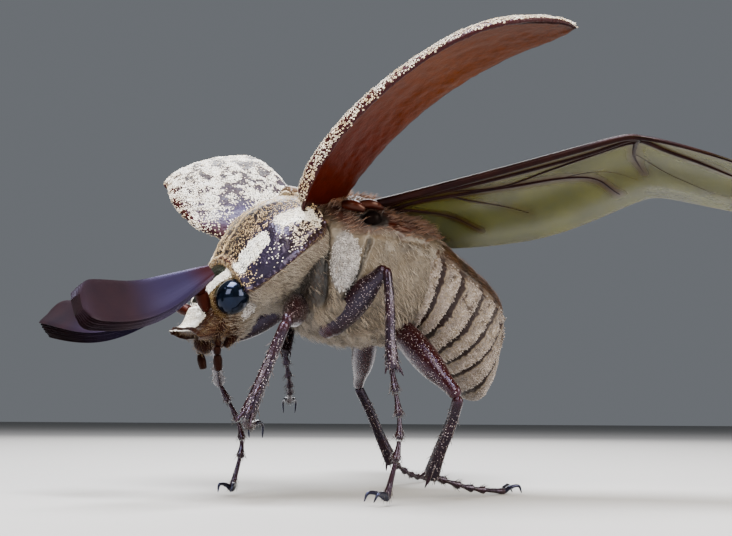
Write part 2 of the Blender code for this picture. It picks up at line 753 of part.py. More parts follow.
def make_leg(leg, materials):
    """The shin and the foot meet at a mitre cut across their joint."""
    root, knee, ankle, toe = LEGS[leg]
    knee = Vector(knee)
    ankle = Vector(ankle)
    toe = Vector(toe)
    size = LEG_SIZE[leg.split("_")[0]]
    femur = make_femur(leg, size, BODY @ Vector(root), knee, materials)
    shin = make_shin(leg, size, knee, ankle, materials)
    foot = make_tarsus(leg, ankle, toe, materials)
    carve(shin, [femur])
    reach = (ankle - knee).normalized()
    away = (foot_path(leg, ankle, toe)[1] - ankle).normalized()
    mitre = (reach + away).normalized()
    trim(shin, ankle - mitre * GAP / 2.0, mitre)
    trim(foot, ankle + mitre * GAP / 2.0, -mitre)
    add_spurs(shin, leg, knee, ankle, toe, materials)
    return femur, shin, foot


# The whole beetle

def clear_scene():
    for old in list(bpy.data.objects):
        bpy.data.objects.remove(old, do_unlink=True)


def make_materials():
    made = {}
    for name, (colour, roughness) in MATERIALS.items():
        material = bpy.data.materials.new(name)
        material.use_nodes = True
        shader = material.node_tree.nodes["Principled BSDF"]
        shader.inputs["Base Color"].default_value = colour
        shader.inputs["Roughness"].default_value = roughness
        shader.inputs["Metallic"].default_value = 0.0
        material.diffuse_color = colour
        made[name] = material
    return made


def centre_on_floor():
    """Moves every mesh so that the box of the whole is centred on the origin, above the floor."""
    bodies = [item for item in bpy.data.objects if item.type == "MESH"]
    corners = np.array([v.co[:] for item in bodies for v in item.data.vertices])
    low = corners.min(axis=0)
    high = corners.max(axis=0)
    move = Matrix.Translation((-(low[0] + high[0]) / 2.0, -(low[1] + high[1]) / 2.0, -low[2]))
    for item in bodies:
        item.data.transform(move)
        item.data.shade_smooth()
        item.data.set_sharp_from_angle(angle=math.radians(40.0))


def main():
    clear_scene()
    materials = make_materials()
    head = make_head(materials)
    prothorax = make_prothorax(materials)
    thorax = make_thorax(materials)
    abdomen = make_abdomen(materials)
    scutellum = make_scutellum(materials)
    legs = {leg: make_leg(leg, materials) for leg in LEGS}
    carve(prothorax, [head])
    carve(thorax, [prothorax, scutellum])
    carve(abdomen, [thorax])
    part_pygidium(abdomen, materials)
    for side in (1, -1):
        eye = make_eye(side, materials)
        antenna = make_antenna(side, materials)
        club = make_club(side, materials)
        palp = make_palp(side, materials)
        elytron = make_elytron(side, materials)
        make_wing(side, materials)
        carve(antenna, [eye])
        carve(head, [eye, antenna, palp])
        carve(prothorax, [eye, elytron, antenna])
        carve(thorax, [elytron])
        room = wing_room(side, materials)
        carve(thorax, [room], 0.0)
        carve(abdomen, [room], 0.0)
        bpy.data.objects.remove(room, do_unlink=True)
    for femur, shin, foot in legs.values():
        carve(prothorax, [femur])
        carve(thorax, [femur])
        carve(abdomen, [femur])
    centre_on_floor()


main()
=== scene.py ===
import math

import bmesh
import bpy
import numpy as np
from mathutils import Matrix, Vector, noise


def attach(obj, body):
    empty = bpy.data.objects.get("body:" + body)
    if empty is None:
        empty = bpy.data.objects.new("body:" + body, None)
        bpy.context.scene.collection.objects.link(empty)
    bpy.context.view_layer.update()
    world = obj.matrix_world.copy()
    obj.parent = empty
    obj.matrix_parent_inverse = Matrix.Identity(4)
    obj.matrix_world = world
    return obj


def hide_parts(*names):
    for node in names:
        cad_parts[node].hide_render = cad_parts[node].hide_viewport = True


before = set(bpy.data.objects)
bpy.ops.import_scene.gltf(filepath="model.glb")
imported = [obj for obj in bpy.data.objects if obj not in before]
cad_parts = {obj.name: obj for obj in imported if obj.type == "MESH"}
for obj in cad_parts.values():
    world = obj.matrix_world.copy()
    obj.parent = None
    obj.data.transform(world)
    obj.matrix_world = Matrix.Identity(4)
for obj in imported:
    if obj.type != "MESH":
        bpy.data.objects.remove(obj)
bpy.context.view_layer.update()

# Sizes are in millimetres until a mesh is made
mm = 0.001
farAway = 99.0       # more than any distance on the beetle
creaseAngle = 38.0   # edges sharper than this stay hard
bakePatch = 0.003    # width of one tuft's patch on the coat's map
bothSides = ((1, "left"), (-1, "right"))

stance = {
    "origin": (8.416, 4.581, 23.0),   # middle of the pronotum's hind edge, above the floor
    "lean": 4.0,                      # the left side is this many degrees lower
    "neckPitch": 32.7,
    "neckTurn": 3.9,
    "headPitch": 25.5,
    "headRoot": (7.26, 0.0, -3.2),
}


def turn(axis, degrees):
    return Matrix.Rotation(math.radians(degrees), 4, axis)


bodyFrame = Matrix.Translation(stance["origin"]) @ turn("X", -stance["lean"])
neckFrame = bodyFrame @ turn("Z", stance["neckTurn"]) @ turn("Y", stance["neckPitch"])
headFrame = neckFrame @ Matrix.Translation(stance["headRoot"]) @ turn("Y", stance["headPitch"])


def wingFrame(hinge, side, out, up, roll):   # x along the wing, y from its hind to its front edge
    mirror = Matrix.Scale(side, 4, (0.0, 1.0, 0.0))
    spread = turn("Z", 180.0 - out) @ turn("Y", -up) @ turn("X", -roll)
    return bodyFrame @ mirror @ Matrix.Translation(hinge) @ spread @ Matrix.Scale(-1.0, 4, (0.0, 1.0, 0.0))


def placed(matrix, points):
    m = np.array(matrix)
    return np.asarray(points, float) @ m[:3, :3].T + m[:3, 3]


def turned(matrix, directions):
    return np.asarray(directions, float) @ np.array(matrix)[:3, :3].T


def heading(matrix, x, y, z):   # directions whose parts are numbers or arrays
    return turned(matrix, np.stack(np.broadcast_arrays(x, y, z), -1))


# Camera: low at the left side and a little in front, as in the photograph
view = {
    "azimuth": 23.5, "elevation": -5.1, "roll": 2.0, "lens": 49.18,
    "middle": (-6.48, -5.55, 77.72),   # the body's origin from the camera: to the right, down and ahead
}


def makeCamera():
    a, e, r = (math.radians(view[k]) for k in ("azimuth", "elevation", "roll"))
    ahead = -np.array([math.sin(a) * math.cos(e), math.cos(a) * math.cos(e), math.sin(e)])
    right = np.cross(ahead, (0.0, 0.0, 1.0))
    right /= np.linalg.norm(right)
    above = np.cross(right, ahead)
    right, above = math.cos(r) * right + math.sin(r) * above, math.cos(r) * above - math.sin(r) * right
    centre = -np.array([right, -above, ahead]).T @ np.array(view["middle"])
    camera = bpy.data.cameras.new("camera")
    camera.lens = view["lens"]
    camera.sensor_width = 36.0
    camera.clip_start = 0.001
    holder = bpy.data.objects.new("camera", camera)
    bpy.context.scene.collection.objects.link(holder)
    turning = bodyFrame.to_3x3() @ Matrix(np.column_stack([right, above, -ahead]).tolist())
    place = turning.to_4x4()
    place.translation = (bodyFrame @ Vector(centre)) * mm
    holder.matrix_world = place
    bpy.context.scene.camera = holder


makeCamera()
print("camera placed")


# Curves and noise

def through(x, xs, ys):   # the smooth line through points that the solids use
    xs, ys, x = np.asarray(xs, float), np.asarray(ys, float), np.asarray(x, float)
    slopes = np.empty_like(ys)
    slopes[1:-1] = (ys[2:] - ys[:-2]) / (xs[2:] - xs[:-2])
    slopes[0] = (ys[1] - ys[0]) / (xs[1] - xs[0])
    slopes[-1] = (ys[-1] - ys[-2]) / (xs[-1] - xs[-2])
    i = np.clip(np.searchsorted(xs, x, side="right") - 1, 0, len(xs) - 2)
    span = xs[i + 1] - xs[i]
    t = np.clip((x - xs[i]) / span, 0.0, 1.0)
    start = (2 * t ** 3 - 3 * t ** 2 + 1) * ys[i] + (t ** 3 - 2 * t ** 2 + t) * span * slopes[i]
    return start + (3 * t ** 2 - 2 * t ** 3) * ys[i + 1] + (t ** 3 - t ** 2) * span * slopes[i + 1]


def pathThrough(points, ts):
    points = np.asarray(points, float)
    knots = np.linspace(0.0, 1.0, len(points))
    return np.stack([through(ts, knots, points[:, k]) for k in range(3)], axis=-1)


def unit(vectors):
    return vectors / np.maximum(np.linalg.norm(vectors, axis=-1, keepdims=True), 1e-9)


def bell(x, centre, width):
    return np.exp(-((x - centre) / width) ** 2)


def step(x, low, high):
    t = np.clip((x - low) / (high - low), 0.0, 1.0)
    return t * t * (3.0 - 2.0 * t)


def grain(points, size, seed=0.0, octaves=2):   # noise from about -1 to 1, its cells of this size in mm
    flat = np.asarray(points, float).reshape(-1, 3) / size + seed
    if octaves > 1:
        values = [noise.fractal(Vector(p), 0.8, 2.0, octaves) for p in flat]
    else:
        values = [noise.noise(Vector(p)) for p in flat]
    return np.array(values).reshape(np.asarray(points).shape[:-1]) * 1.6


def nearLine(x, y, line):   # distance of points from a polyline
    best = np.full(np.broadcast(x, y).shape, farAway)
    for (x0, y0), (x1, y1) in zip(line, line[1:]):
        wide, high = x1 - x0, y1 - y0
        t = np.clip(((x - x0) * wide + (y - y0) * high) / (wide ** 2 + high ** 2), 0.0, 1.0)
        best = np.minimum(best, np.hypot(x - x0 - t * wide, y - y0 - t * high))
    return best


# Meshes

def gridNormals(points):   # outward directions of a tube of rings
    around = np.roll(points, -1, 1) - np.roll(points, 1, 1)
    normals = unit(np.cross(np.gradient(points, axis=0), around))
    outward = points - points.mean(axis=1, keepdims=True)
    return -normals if np.sum(normals * outward) < 0.0 else normals


def gridParts(points):   # vertices, faces and unwrap of a tube of rings that is closed at both ends
    rows, columns = points.shape[:2]
    i, j = np.meshgrid(np.arange(rows - 1), np.arange(columns), indexing="ij")
    i, j = i.ravel(), j.ravel()
    after = (j + 1) % columns
    corners = [i * columns + j, i * columns + after, (i + 1) * columns + after, (i + 1) * columns + j]
    faces = [tuple(face) for face in np.stack(corners, -1).tolist()]
    left, right, low, high = j / columns, (j + 1) / columns, i / (rows - 1), (i + 1) / (rows - 1)
    uvs = [np.stack([left, low, right, low, right, high, left, high], -1).reshape(-1, 2)]
    vertices = points.reshape(-1, 3)
    for row in (0, rows - 1):
        vertices = np.vstack([vertices, points[row].mean(axis=0)])
        hub, level = len(vertices) - 1, float(row > 0)
        for k in range(columns):
            faces.append((row * columns + k, row * columns + (k + 1) % columns, hub))
            uvs.append(np.array([[(k + place) / columns, level] for place in (0.0, 1.0, 0.5)]))
    return vertices, faces, np.vstack(uvs)


def meshObject(name, vertices, faces, uvs, material, smooth=creaseAngle):
    mesh = bpy.data.meshes.new(name)
    mesh.from_pydata((np.asarray(vertices) * mm).tolist(), [], faces)
    layer = mesh.uv_layers.new(name="skinUv")
    layer.data.foreach_set("uv", np.asarray(uvs, np.float32).ravel())
    item = bpy.data.objects.new(name, mesh)
    bpy.context.scene.collection.objects.link(item)
    mesh.materials.append(material)
    work = bmesh.new()
    work.from_mesh(mesh)
    bmesh.ops.recalc_face_normals(work, faces=work.faces)
    work.to_mesh(mesh)
    work.free()
    mesh.shade_smooth()
    mesh.set_sharp_from_angle(angle=math.radians(smooth))
    return item


def gridObject(name, points, material, smooth=creaseAngle):
    return meshObject(name, *gridParts(points), material, smooth)


def paint(item, name, values):   # a value or a direction for each vertex
    values = np.asarray(values, np.float32)
    vector = values.ndim > 1 and values.shape[-1] == 3
    flat = values.reshape(-1, 3) if vector else values.ravel()
    total = len(item.data.vertices)
    if len(flat) < total:
        flat = np.concatenate([flat, np.repeat(flat[-1:], total - len(flat), axis=0)])
    attribute = item.data.attributes.new(name, "FLOAT_VECTOR" if vector else "FLOAT", "POINT")
    attribute.data.foreach_set("vector" if vector else "value", flat.ravel())


class Bundle:   # several small shapes gathered into one piece
    def __init__(self):
        self.vertices, self.faces, self.uvs, self.count = [], [], [], 0

    def add(self, vertices, faces, uvs):
        self.faces += [tuple(k + self.count for k in face) for face in faces]
        self.vertices.append(np.asarray(vertices))
        self.uvs.append(np.asarray(uvs, float))
        self.count += len(vertices)

    def finish(self, name, material, smooth=creaseAngle, ground=None):
        vertices = np.vstack(self.vertices)
        if ground is not None:                                       # small flats where a foot stands
            vertices[:, 2] = np.maximum(vertices[:, 2], ground)
        return meshObject(name, vertices, self.faces, np.vstack(self.uvs), material, smooth)


def tubePoints(path, radii, sides=16, flat=1.0, lean=(0.3, 0.2, 1.0), ridge=None):
    path = np.asarray(path, float)
    along = unit(np.gradient(path, axis=0))
    across = unit(np.cross(along[0], lean))
    angles = np.arange(sides) * 2.0 * math.pi / sides
    rings = []
    for k in range(len(path)):
        across = unit(across - along[k] * np.dot(across, along[k]))
        other = np.cross(along[k], across)
        radius = radii[k] * (1.0 + (ridge(angles, k / (len(path) - 1.0)) if ridge else 0.0))
        rings.append(path[k] + (np.outer(np.cos(angles) * radius * flat, across)
                                + np.outer(np.sin(angles) * radius, other)))
    return np.array(rings)


def roundedTube(points, radii, count=24, sides=16, flat=1.0, lean=(0.3, 0.2, 1.0), ridge=None,
                ends=(1.0, 1.0)):
    # closer rings at both ends, drawn in as a dome
    ts = np.concatenate([[0.0, 0.01, 0.03, 0.06], np.linspace(0.1, 0.9, count), [0.94, 0.97, 0.99, 1.0]])
    sizes = through(ts, np.linspace(0.0, 1.0, len(radii)), radii)
    for end, away in zip(ends, (ts, 1.0 - ts)):
        sizes *= np.sqrt(np.clip(1.0 - end * (1.0 - np.clip(away / 0.06, 0, 1)) ** 2, 0.02, 1.0))
    return tubePoints(pathThrough(points, ts), sizes, sides, flat, lean, ridge)


# Materials

def colour(text):   # an sRGB hex value as linear light
    parts = [int(text[k:k + 2], 16) / 255.0 for k in (1, 3, 5)]
    return [c / 12.92 if c <= 0.04045 else ((c + 0.055) / 1.055) ** 2.4 for c in parts] + [1.0]


def add(tree, kind, settings=None, links=None):   # one node with its settings and links
    item = tree.nodes.new(kind)
    for key, value in (settings or {}).items():
        if key == "stops":                                           # of a colour ramp
            while len(item.color_ramp.elements) < len(value):
                item.color_ramp.elements.new(0.5)
            for point, (place, shade) in zip(item.color_ramp.elements, value):
                point.position, point.color = place, colour(shade)
        elif isinstance(key, int) or key in item.inputs:
            shade = isinstance(value, str) and value.startswith("#")
            item.inputs[key].default_value = colour(value) if shade else value
        else:
            setattr(item, key, value)
    for key, source in (links or {}).items():
        if not isinstance(source, bpy.types.NodeSocket):             # a node stands for its first output
            source = source.outputs[0]
        tree.links.new(source, item.inputs[key])
    return item


def newMaterial(name, settings):   # with the shader's constants, and the place in mm on the object
    material = bpy.data.materials.new(name)
    material.use_nodes = True
    tree = material.node_tree
    shader = tree.nodes["Principled BSDF"]
    for key, value in settings.items():
        shader.inputs[key].default_value = value
    place = add(tree, "ShaderNodeTexCoord")
    spot = add(tree, "ShaderNodeMapping", {"Scale": (1.0 / mm,) * 3}, {"Vector": place.outputs["Object"]})
    return material, tree, shader, spot


def overlay(tree, tone, layers):   # a colour laid over the tone where each painted attribute is 1
    for name, shade in layers:
        mask = add(tree, "ShaderNodeAttribute", {"attribute_name": name}).outputs["Fac"]
        tone = add(tree, "ShaderNodeMixRGB", {"Color2": shade}, {"Fac": mask, "Color1": tone})
    return tone


def hornMaterial(name, dark, light, rough, coat=0.3, pitSize=0.3, pitDepth=0.025, tint="#ffffff", red=None,
                 bloom=None, gloss=0.34):
    # Cuticle, hardened and punctured: a dark gloss like lacquer's, broken by pits, with painted tones and a
    # painted sheen
    material, tree, shader, spot = newMaterial(name, {
        "Specular IOR Level": gloss, "Specular Tint": colour(tint), "Coat Weight": coat * 0.35,
        "Coat Roughness": 0.2})
    mottle = add(tree, "ShaderNodeTexNoise", {"Scale": 1.0 / 1.3, "Detail": 4.0, "Roughness": 0.55},
                 {"Vector": spot})
    tone = add(tree, "ShaderNodeValToRGB", {"stops": [(0.3, dark), (0.7, light)]}, {"Fac": mottle})
    tone = overlay(tree, tone, [("red", red)] if red else [])
    # felt under hair, then a last layer: a violet painted sheen on the pronotum and wing cases, a brown ring
    # round the eye on the head
    tone = overlay(tree, tone, [("felt", "#5d554a"), ("bloom", bloom)] if bloom else [])
    tree.links.new(tone.outputs[0], shader.inputs["Base Color"])
    cells = add(tree, "ShaderNodeTexVoronoi", {"Scale": 1.0 / pitSize, "Randomness": 0.85}, {"Vector": spot})
    slope = add(tree, "ShaderNodeMath", {"operation": "DIVIDE", 1: 0.5}, {0: cells})
    hollow = add(tree, "ShaderNodeMath", {"operation": "SMOOTH_MIN", 1: 1.0}, {0: slope})
    fine = add(tree, "ShaderNodeTexNoise", {"Scale": 1.0 / 0.12, "Detail": 2.0, "Roughness": 0.55},
               {"Vector": spot})
    height = add(tree, "ShaderNodeMath", {"operation": "MULTIPLY_ADD", 1: 0.25}, {0: fine, 2: hollow})
    bump = add(tree, "ShaderNodeBump", {"Strength": 1.0, "Distance": pitDepth * mm}, {"Height": height})
    tree.links.new(bump.outputs[0], shader.inputs["Normal"])
    uneven = add(tree, "ShaderNodeMath", {"operation": "MULTIPLY_ADD", 1: 0.25, 2: rough - 0.1}, {0: fine})
    tree.links.new(uneven.outputs[0], shader.inputs["Roughness"])
    return material


def toneMaterial(name, pale, deep, patchSize, patches, share, settings):
    # each tuft has its own tone between two, and patches of the coat are duller
    material, tree, shader, spot = newMaterial(name, settings)
    tuftTone = add(tree, "ShaderNodeAttribute", {"attribute_name": "tone"}).outputs["Fac"]
    shade = add(tree, "ShaderNodeMixRGB", {"Color1": deep, "Color2": pale}, {"Fac": tuftTone})
    mottle = add(tree, "ShaderNodeTexNoise", {"Scale": 1.0 / patchSize, "Detail": 3.0, "Roughness": 0.55},
                 {"Vector": spot})
    worn = add(tree, "ShaderNodeValToRGB", {"stops": patches}, {"Fac": mottle})
    tone = add(tree, "ShaderNodeMixRGB", {"blend_type": "MULTIPLY", "Fac": share},
               {"Color1": shade, "Color2": worn})
    tree.links.new(tone.outputs[0], shader.inputs["Base Color"])
    return material


def flakeMaterial(name, white, cream, dull):
    # Flat scales of dry cuticle: matt white and cream with a faint silk
    return toneMaterial(name, white, cream, 0.35, [(0.35, dull), (0.6, "#ffffff")], 0.75, {
        "Roughness": 0.5, "Specular IOR Level": 0.4, "Sheen Weight": 0.25, "Sheen Roughness": 0.4})


def hairMaterial(name, pale, deep, rough=0.55):
    # Fine hair: silky, each a little different in tone
    return toneMaterial(name, pale, deep, 1.6, [(0.3, "#b9a890"), (0.65, "#ffffff")], 0.6, {
        "Roughness": rough, "Specular IOR Level": 0.45, "Sheen Weight": 0.3, "Sheen Roughness": 0.5})


# Hair and scales: one Geometry Nodes tree plants a small solid tuft on a skin, laid along its nap

coatSockets = [
    ("Geometry", "NodeSocketGeometry"), ("Tuft", "NodeSocketObject"), ("Finish", "NodeSocketMaterial"),
    ("Spacing", "NodeSocketFloat"), ("Thickest", "NodeSocketFloat"), ("Smallest", "NodeSocketFloat"),
    ("Largest", "NodeSocketFloat"), ("Stand", "NodeSocketFloat"), ("Scatter", "NodeSocketFloat"),
    ("Patch", "NodeSocketFloat"), ("Seed", "NodeSocketInt"),
]


def makeCoatTree():
    tree = bpy.data.node_groups.new("coat", "GeometryNodeTree")
    for name, kind in coatSockets:
        tree.interface.new_socket(name=name, in_out="INPUT", socket_type=kind)
    tree.interface.new_socket(name="Geometry", in_out="OUTPUT", socket_type="NodeSocketGeometry")
    given = add(tree, "NodeGroupInput").outputs
    read = {}
    for name, kind in (("cover", "FLOAT"), ("lie", "FLOAT_VECTOR"), ("size", "FLOAT"),
                       ("tuftUv", "FLOAT_VECTOR"), ("skinUv", "FLOAT_VECTOR")):
        source = add(tree, "GeometryNodeInputNamedAttribute", {"data_type": kind, "Name": name})
        read[name] = source.outputs["Attribute"]
    spots = add(tree, "GeometryNodeDistributePointsOnFaces", {"distribute_method": "POISSON"}, {
        "Mesh": given["Geometry"], "Distance Min": given["Spacing"], "Density Max": given["Thickest"],
        "Density Factor": read["cover"], "Seed": given["Seed"]})
    normal = spots.outputs["Normal"]
    sunk = add(tree, "ShaderNodeVectorMath", {"operation": "PROJECT"}, {0: read["lie"], 1: normal})
    along = add(tree, "ShaderNodeVectorMath", {"operation": "SUBTRACT"}, {0: read["lie"], 1: sunk})
    flat = add(tree, "ShaderNodeVectorMath", {"operation": "NORMALIZE"}, {0: along})
    upright = add(tree, "ShaderNodeVectorMath", {"operation": "SCALE"}, {0: normal, "Scale": given["Stand"]})
    leaning = add(tree, "ShaderNodeVectorMath", {"operation": "ADD"}, {0: flat, 1: upright})
    chance = add(tree, "FunctionNodeRandomValue", {
        "data_type": "FLOAT_VECTOR", 0: (-1, -1, -1), 1: (1, 1, 1)}, {"Seed": given["Seed"]})
    ruffle = add(tree, "ShaderNodeVectorMath", {"operation": "SCALE"}, {0: chance, "Scale": given["Scatter"]})
    direction = add(tree, "ShaderNodeVectorMath", {"operation": "ADD"}, {0: leaning, 1: ruffle})
    pointed = add(tree, "FunctionNodeAlignRotationToVector", {"axis": "Z"}, {"Vector": direction})
    facing = add(tree, "FunctionNodeAlignRotationToVector", {"axis": "Y", "pivot_axis": "Z"}, {
        "Rotation": pointed, "Vector": normal})
    length = add(tree, "FunctionNodeRandomValue", {"data_type": "FLOAT"}, {
        2: given["Smallest"], 3: given["Largest"], "Seed": given["Seed"]}).outputs[1]
    size = add(tree, "ShaderNodeMath", {"operation": "MULTIPLY"}, {0: length, 1: read["size"]})
    tuft = add(tree, "GeometryNodeObjectInfo", links={"Object": given["Tuft"]})
    planted = add(tree, "GeometryNodeInstanceOnPoints", links={
        "Points": spots, "Instance": tuft.outputs["Geometry"], "Rotation": facing, "Scale": size})
    solid = add(tree, "GeometryNodeRealizeInstances", links={"Geometry": planted})
    local = add(tree, "ShaderNodeVectorMath", {"operation": "SCALE"}, {
        0: read["tuftUv"], "Scale": given["Patch"]})
    spot = add(tree, "ShaderNodeVectorMath", {"operation": "ADD"}, {0: read["skinUv"], 1: local})
    stored = add(tree, "GeometryNodeStoreNamedAttribute", {
        "data_type": "FLOAT2", "domain": "CORNER", "Name": "OFBake"}, {"Geometry": solid, "Value": spot})
    coloured = add(tree, "GeometryNodeSetMaterial", links={"Geometry": stored, "Material": given["Finish"]})
    result = add(tree, "NodeGroupOutput")
    tree.links.new(coloured.outputs[0], result.inputs[0])
    return tree


coatTree = makeCoatTree()


def tuftObject(name, vertices, faces):   # drawn along z, one unit long, its face towards y
    mesh = bpy.data.meshes.new(name)
    mesh.from_pydata((np.array(vertices) * mm).tolist(), [], faces)
    layer = mesh.uv_layers.new(name="tuftUv")
    for loop in mesh.loops:
        x, _, z = vertices[loop.vertex_index]
        layer.data[loop.index].uv = (x, z)
    work = bmesh.new()
    work.from_mesh(mesh)
    bmesh.ops.recalc_face_normals(work, faces=work.faces)
    work.to_mesh(mesh)
    work.free()
    item = bpy.data.objects.new(name, mesh)
    bpy.context.scene.collection.objects.link(item)
    return item


def makeFlake(outline):
    rim = len(outline)
    vertices = [(x, 0.0, z) for x, z in outline] + [(0.0, 0.08, 0.5), (0.0, -0.05, 0.5)]
    faces = [(k, (k + 1) % rim, rim) for k in range(rim)] + [((k + 1) % rim, k, rim + 1) for k in range(rim)]
    return tuftObject("flake", vertices, faces)


def makeHair(strands, radius, bend, fan):
    vertices, faces = [], []
    for s in range(strands):
        away = (math.cos(2.4 * s) * fan * (s > 0), math.sin(2.4 * s) * fan * (s > 0))
        first = len(vertices)
        for z, scale, drop in ((0.0, 1.0, 0.0), (0.5, 0.75, 0.6)):
            for k in range(3):
                angle = 2.0 * math.pi * k / 3
                x = radius * scale * math.cos(angle) + away[0] * (0.4 + z)
                vertices.append((x, radius * scale * math.sin(angle) + bend * drop + away[1] * (0.4 + z), z))
        vertices.append((away[0] * 1.5, away[1] * 1.5, 1.0 - 0.13 * s))
        for k in range(3):
            n = (k + 1) % 3
            faces.append((first + k, first + n, first + 3 + n, first + 3 + k))
            faces.append((first + 3 + k, first + 3 + n, first + 6))
        faces.append((first + 2, first + 1, first))
    return tuftObject("hair", vertices, faces)


def carrierFor(skin, values, corner, tiles):   # a copy of a skin with a coat's values, its map in one tile
    part = bpy.data.objects.new("carrier", skin.data.copy())
    bpy.context.scene.collection.objects.link(part)
    total = len(part.data.vertices)
    for label, given in values.items():
        if label in part.data.attributes:
            part.data.attributes.remove(part.data.attributes[label])
        given = np.asarray(given, float)
        if given.ndim == 0 or (label == "lie" and given.ndim == 1):  # the same for the whole skin
            given = np.repeat(given[None], total, axis=0)
        paint(part, label, given)
    layer = part.data.uv_layers["skinUv"]
    uv = np.zeros(len(part.data.loops) * 2, np.float32)
    layer.data.foreach_get("uv", uv)
    uv = (uv.reshape(-1, 2) * 0.98 + 0.01 + corner) / tiles
    layer.data.foreach_set("uv", uv.astype(np.float32).ravel())
    return part


def growCoat(name, skins, tuft, material, settings):
    # skins: (object, cover, lie, size, tone) with values for each vertex or for all
    tiles = math.ceil(math.sqrt(len(skins)))
    parts = []
    for index, (skin, cover, lie, size, tone) in enumerate(skins):
        values = {"cover": cover, "size": size, "tone": tone, "lie": lie}
        parts.append(carrierFor(skin, values, (index % tiles, index // tiles), tiles))
    carrier = parts[0]
    if len(parts) > 1:
        with bpy.context.temp_override(active_object=carrier, selected_editable_objects=parts):
            bpy.ops.object.join()
    modifier = carrier.modifiers.new("coat", "NODES")
    modifier.node_group = coatTree
    density = settings.get("density", 4.0 / settings["spacing"] ** 2)   # tufts in a square millimetre
    values = {"Tuft": tuft, "Finish": material, "Patch": bakePatch / tiles, "Seed": settings["seed"],
              "Spacing": settings["spacing"] * mm, "Thickest": 1e6 * density,
              "Smallest": settings["length"][0], "Largest": settings["length"][1],
              "Stand": settings["stand"], "Scatter": settings["scatter"]}
    for socket in coatTree.interface.items_tree:
        if socket.in_out == "INPUT" and socket.name in values:
            modifier[socket.identifier] = values[socket.name]
    bpy.context.view_layer.update()
    graph = bpy.context.evaluated_depsgraph_get()
    mesh = bpy.data.meshes.new_from_object(carrier.evaluated_get(graph))
    mesh.name = name
    bpy.data.objects.remove(carrier, do_unlink=True)
    for old in ("cover", "lie", "size", "tuftUv", "skinUv"):
        if old in mesh.attributes:
            mesh.attributes.remove(mesh.attributes[old])
    mesh.shade_smooth()
    coat = bpy.data.objects.new(name, mesh)
    bpy.context.scene.collection.objects.link(coat)
    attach(coat, "root")
    print("  coat", name, len(mesh.polygons), "faces")


def keep(item, slot, *nodes):
    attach(item, "root")
    if nodes:
        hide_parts(*nodes)
    return item


flake = makeFlake([(0.0, 0.0), (0.34, 0.55), (0.0, 1.0), (-0.34, 0.55)])
broadFlake = makeFlake([(0.0, 0.0), (0.3, 0.2), (0.42, 0.6), (0.0, 1.0), (-0.42, 0.6), (-0.3, 0.2)])
hair = makeHair(strands=3, radius=0.016, bend=0.14, fan=0.09)
lash = makeHair(strands=1, radius=0.022, bend=0.12, fan=0.0)
bristle = makeHair(strands=1, radius=0.05, bend=0.05, fan=0.0)

whiteScales = flakeMaterial("whiteScales", "#fffdf4", "#c9a765", "#cfc7b4")
fleckScales = flakeMaterial("fleckScales", "#c9bcc0", "#94868c", "#83787c")
greyScales = flakeMaterial("greyScales", "#c8c6c6", "#8f8b88", "#7b7774")
pileHair = flakeMaterial("pileHair", "#b4a8a0", "#7c7069", "#857b75")
woolHair = hairMaterial("woolHair", "#aca08f", "#655848")
orangeHair = hairMaterial("orangeHair", "#8a5a2c", "#46200a")
ochreHair = hairMaterial("ochreHair", "#a88a4a", "#5f4219")
# a darker copy of the fuzz for the neck hollow: painted shade
neckShadeHair = hairMaterial("neckShadeHair", "#5f4226", "#26150a")
greyHair = hairMaterial("greyHair", "#b3aa9b", "#6e655a")
darkBristle = hairMaterial("darkBristle", "#4a2c20", "#1d1214", 0.35)


def sectionPoints(table, x, angle, bow=0.0):   # the same cross-sections as the solids
    # a row: place, half width, heights of the middle, top and bottom, curve of the upper and lower half
    rows = np.array(table)
    width, middle, top, bottom, upper, lower = [through(x, rows[:, 0], rows[:, k]) for k in range(1, 7)]
    s, c = np.sin(angle), np.cos(angle)
    power = 2.0 / np.where(s >= 0.0, upper, lower)
    y = width * np.sign(c) * np.abs(c) ** power
    lift = np.sign(s) * np.abs(s) ** power
    z = middle + np.where(lift >= 0.0, lift * (top - middle), lift * (middle - bottom))
    return np.stack([x + bow * (y / width) ** 2, y, z], axis=-1)


def sectionGrid(shape):   # the places along and around a section of the body
    rows, columns = shape["rows"], shape["columns"]
    x = np.linspace(shape["table"][0][0], shape["table"][-1][0], rows)[:, None] * np.ones((1, columns))
    angle = np.linspace(0.0, 2.0 * math.pi, columns, endpoint=False)[None, :] * np.ones((rows, 1))
    return x, angle


# Legs: plum horn with white flecks, red at the joints, toothed shins, long jointed feet and hooked claws
legs = {   # the hip in the body's axes, then knee, ankle and toe from the floor under the body's origin
    "fore_left": ((-1.2, 1.72, -8.34), (1.49, 5.66, 12.65), (3.94, 4.89, 6.02), (1.9, -0.1, 5.5)),
    "fore_right": ((-0.95, -1.87, -8.34), (4.02, -4.04, 11.59), (2.3, -8.51, 8.91), (1.9, -5.5, 0.2)),
    "mid_left": ((-3.5, 2.5, -9.8), (-5.52, 7.41, 16.74), (-6.03, 7.22, 9.55), (-5.2, 8.0, 0.2)),
    "mid_right": ((-3.5, -2.5, -9.8), (-5.0, -9.02, 17.32), (-2.4, -5.73, 11.37), (-4.6, -10.6, 7.4)),
    "hind_left": ((-9.0, 3.2, -10.0), (-10.91, 8.22, 7.56), (-11.35, 2.97, 1.7), (-19.5, 0.5, 0.2)),
    "hind_right": ((-9.0, -3.2, -10.0), (-10.91, -10.3, 8.85), (-15.5, -13.0, 2.2), (-22.0, -18.0, 0.2)),
}
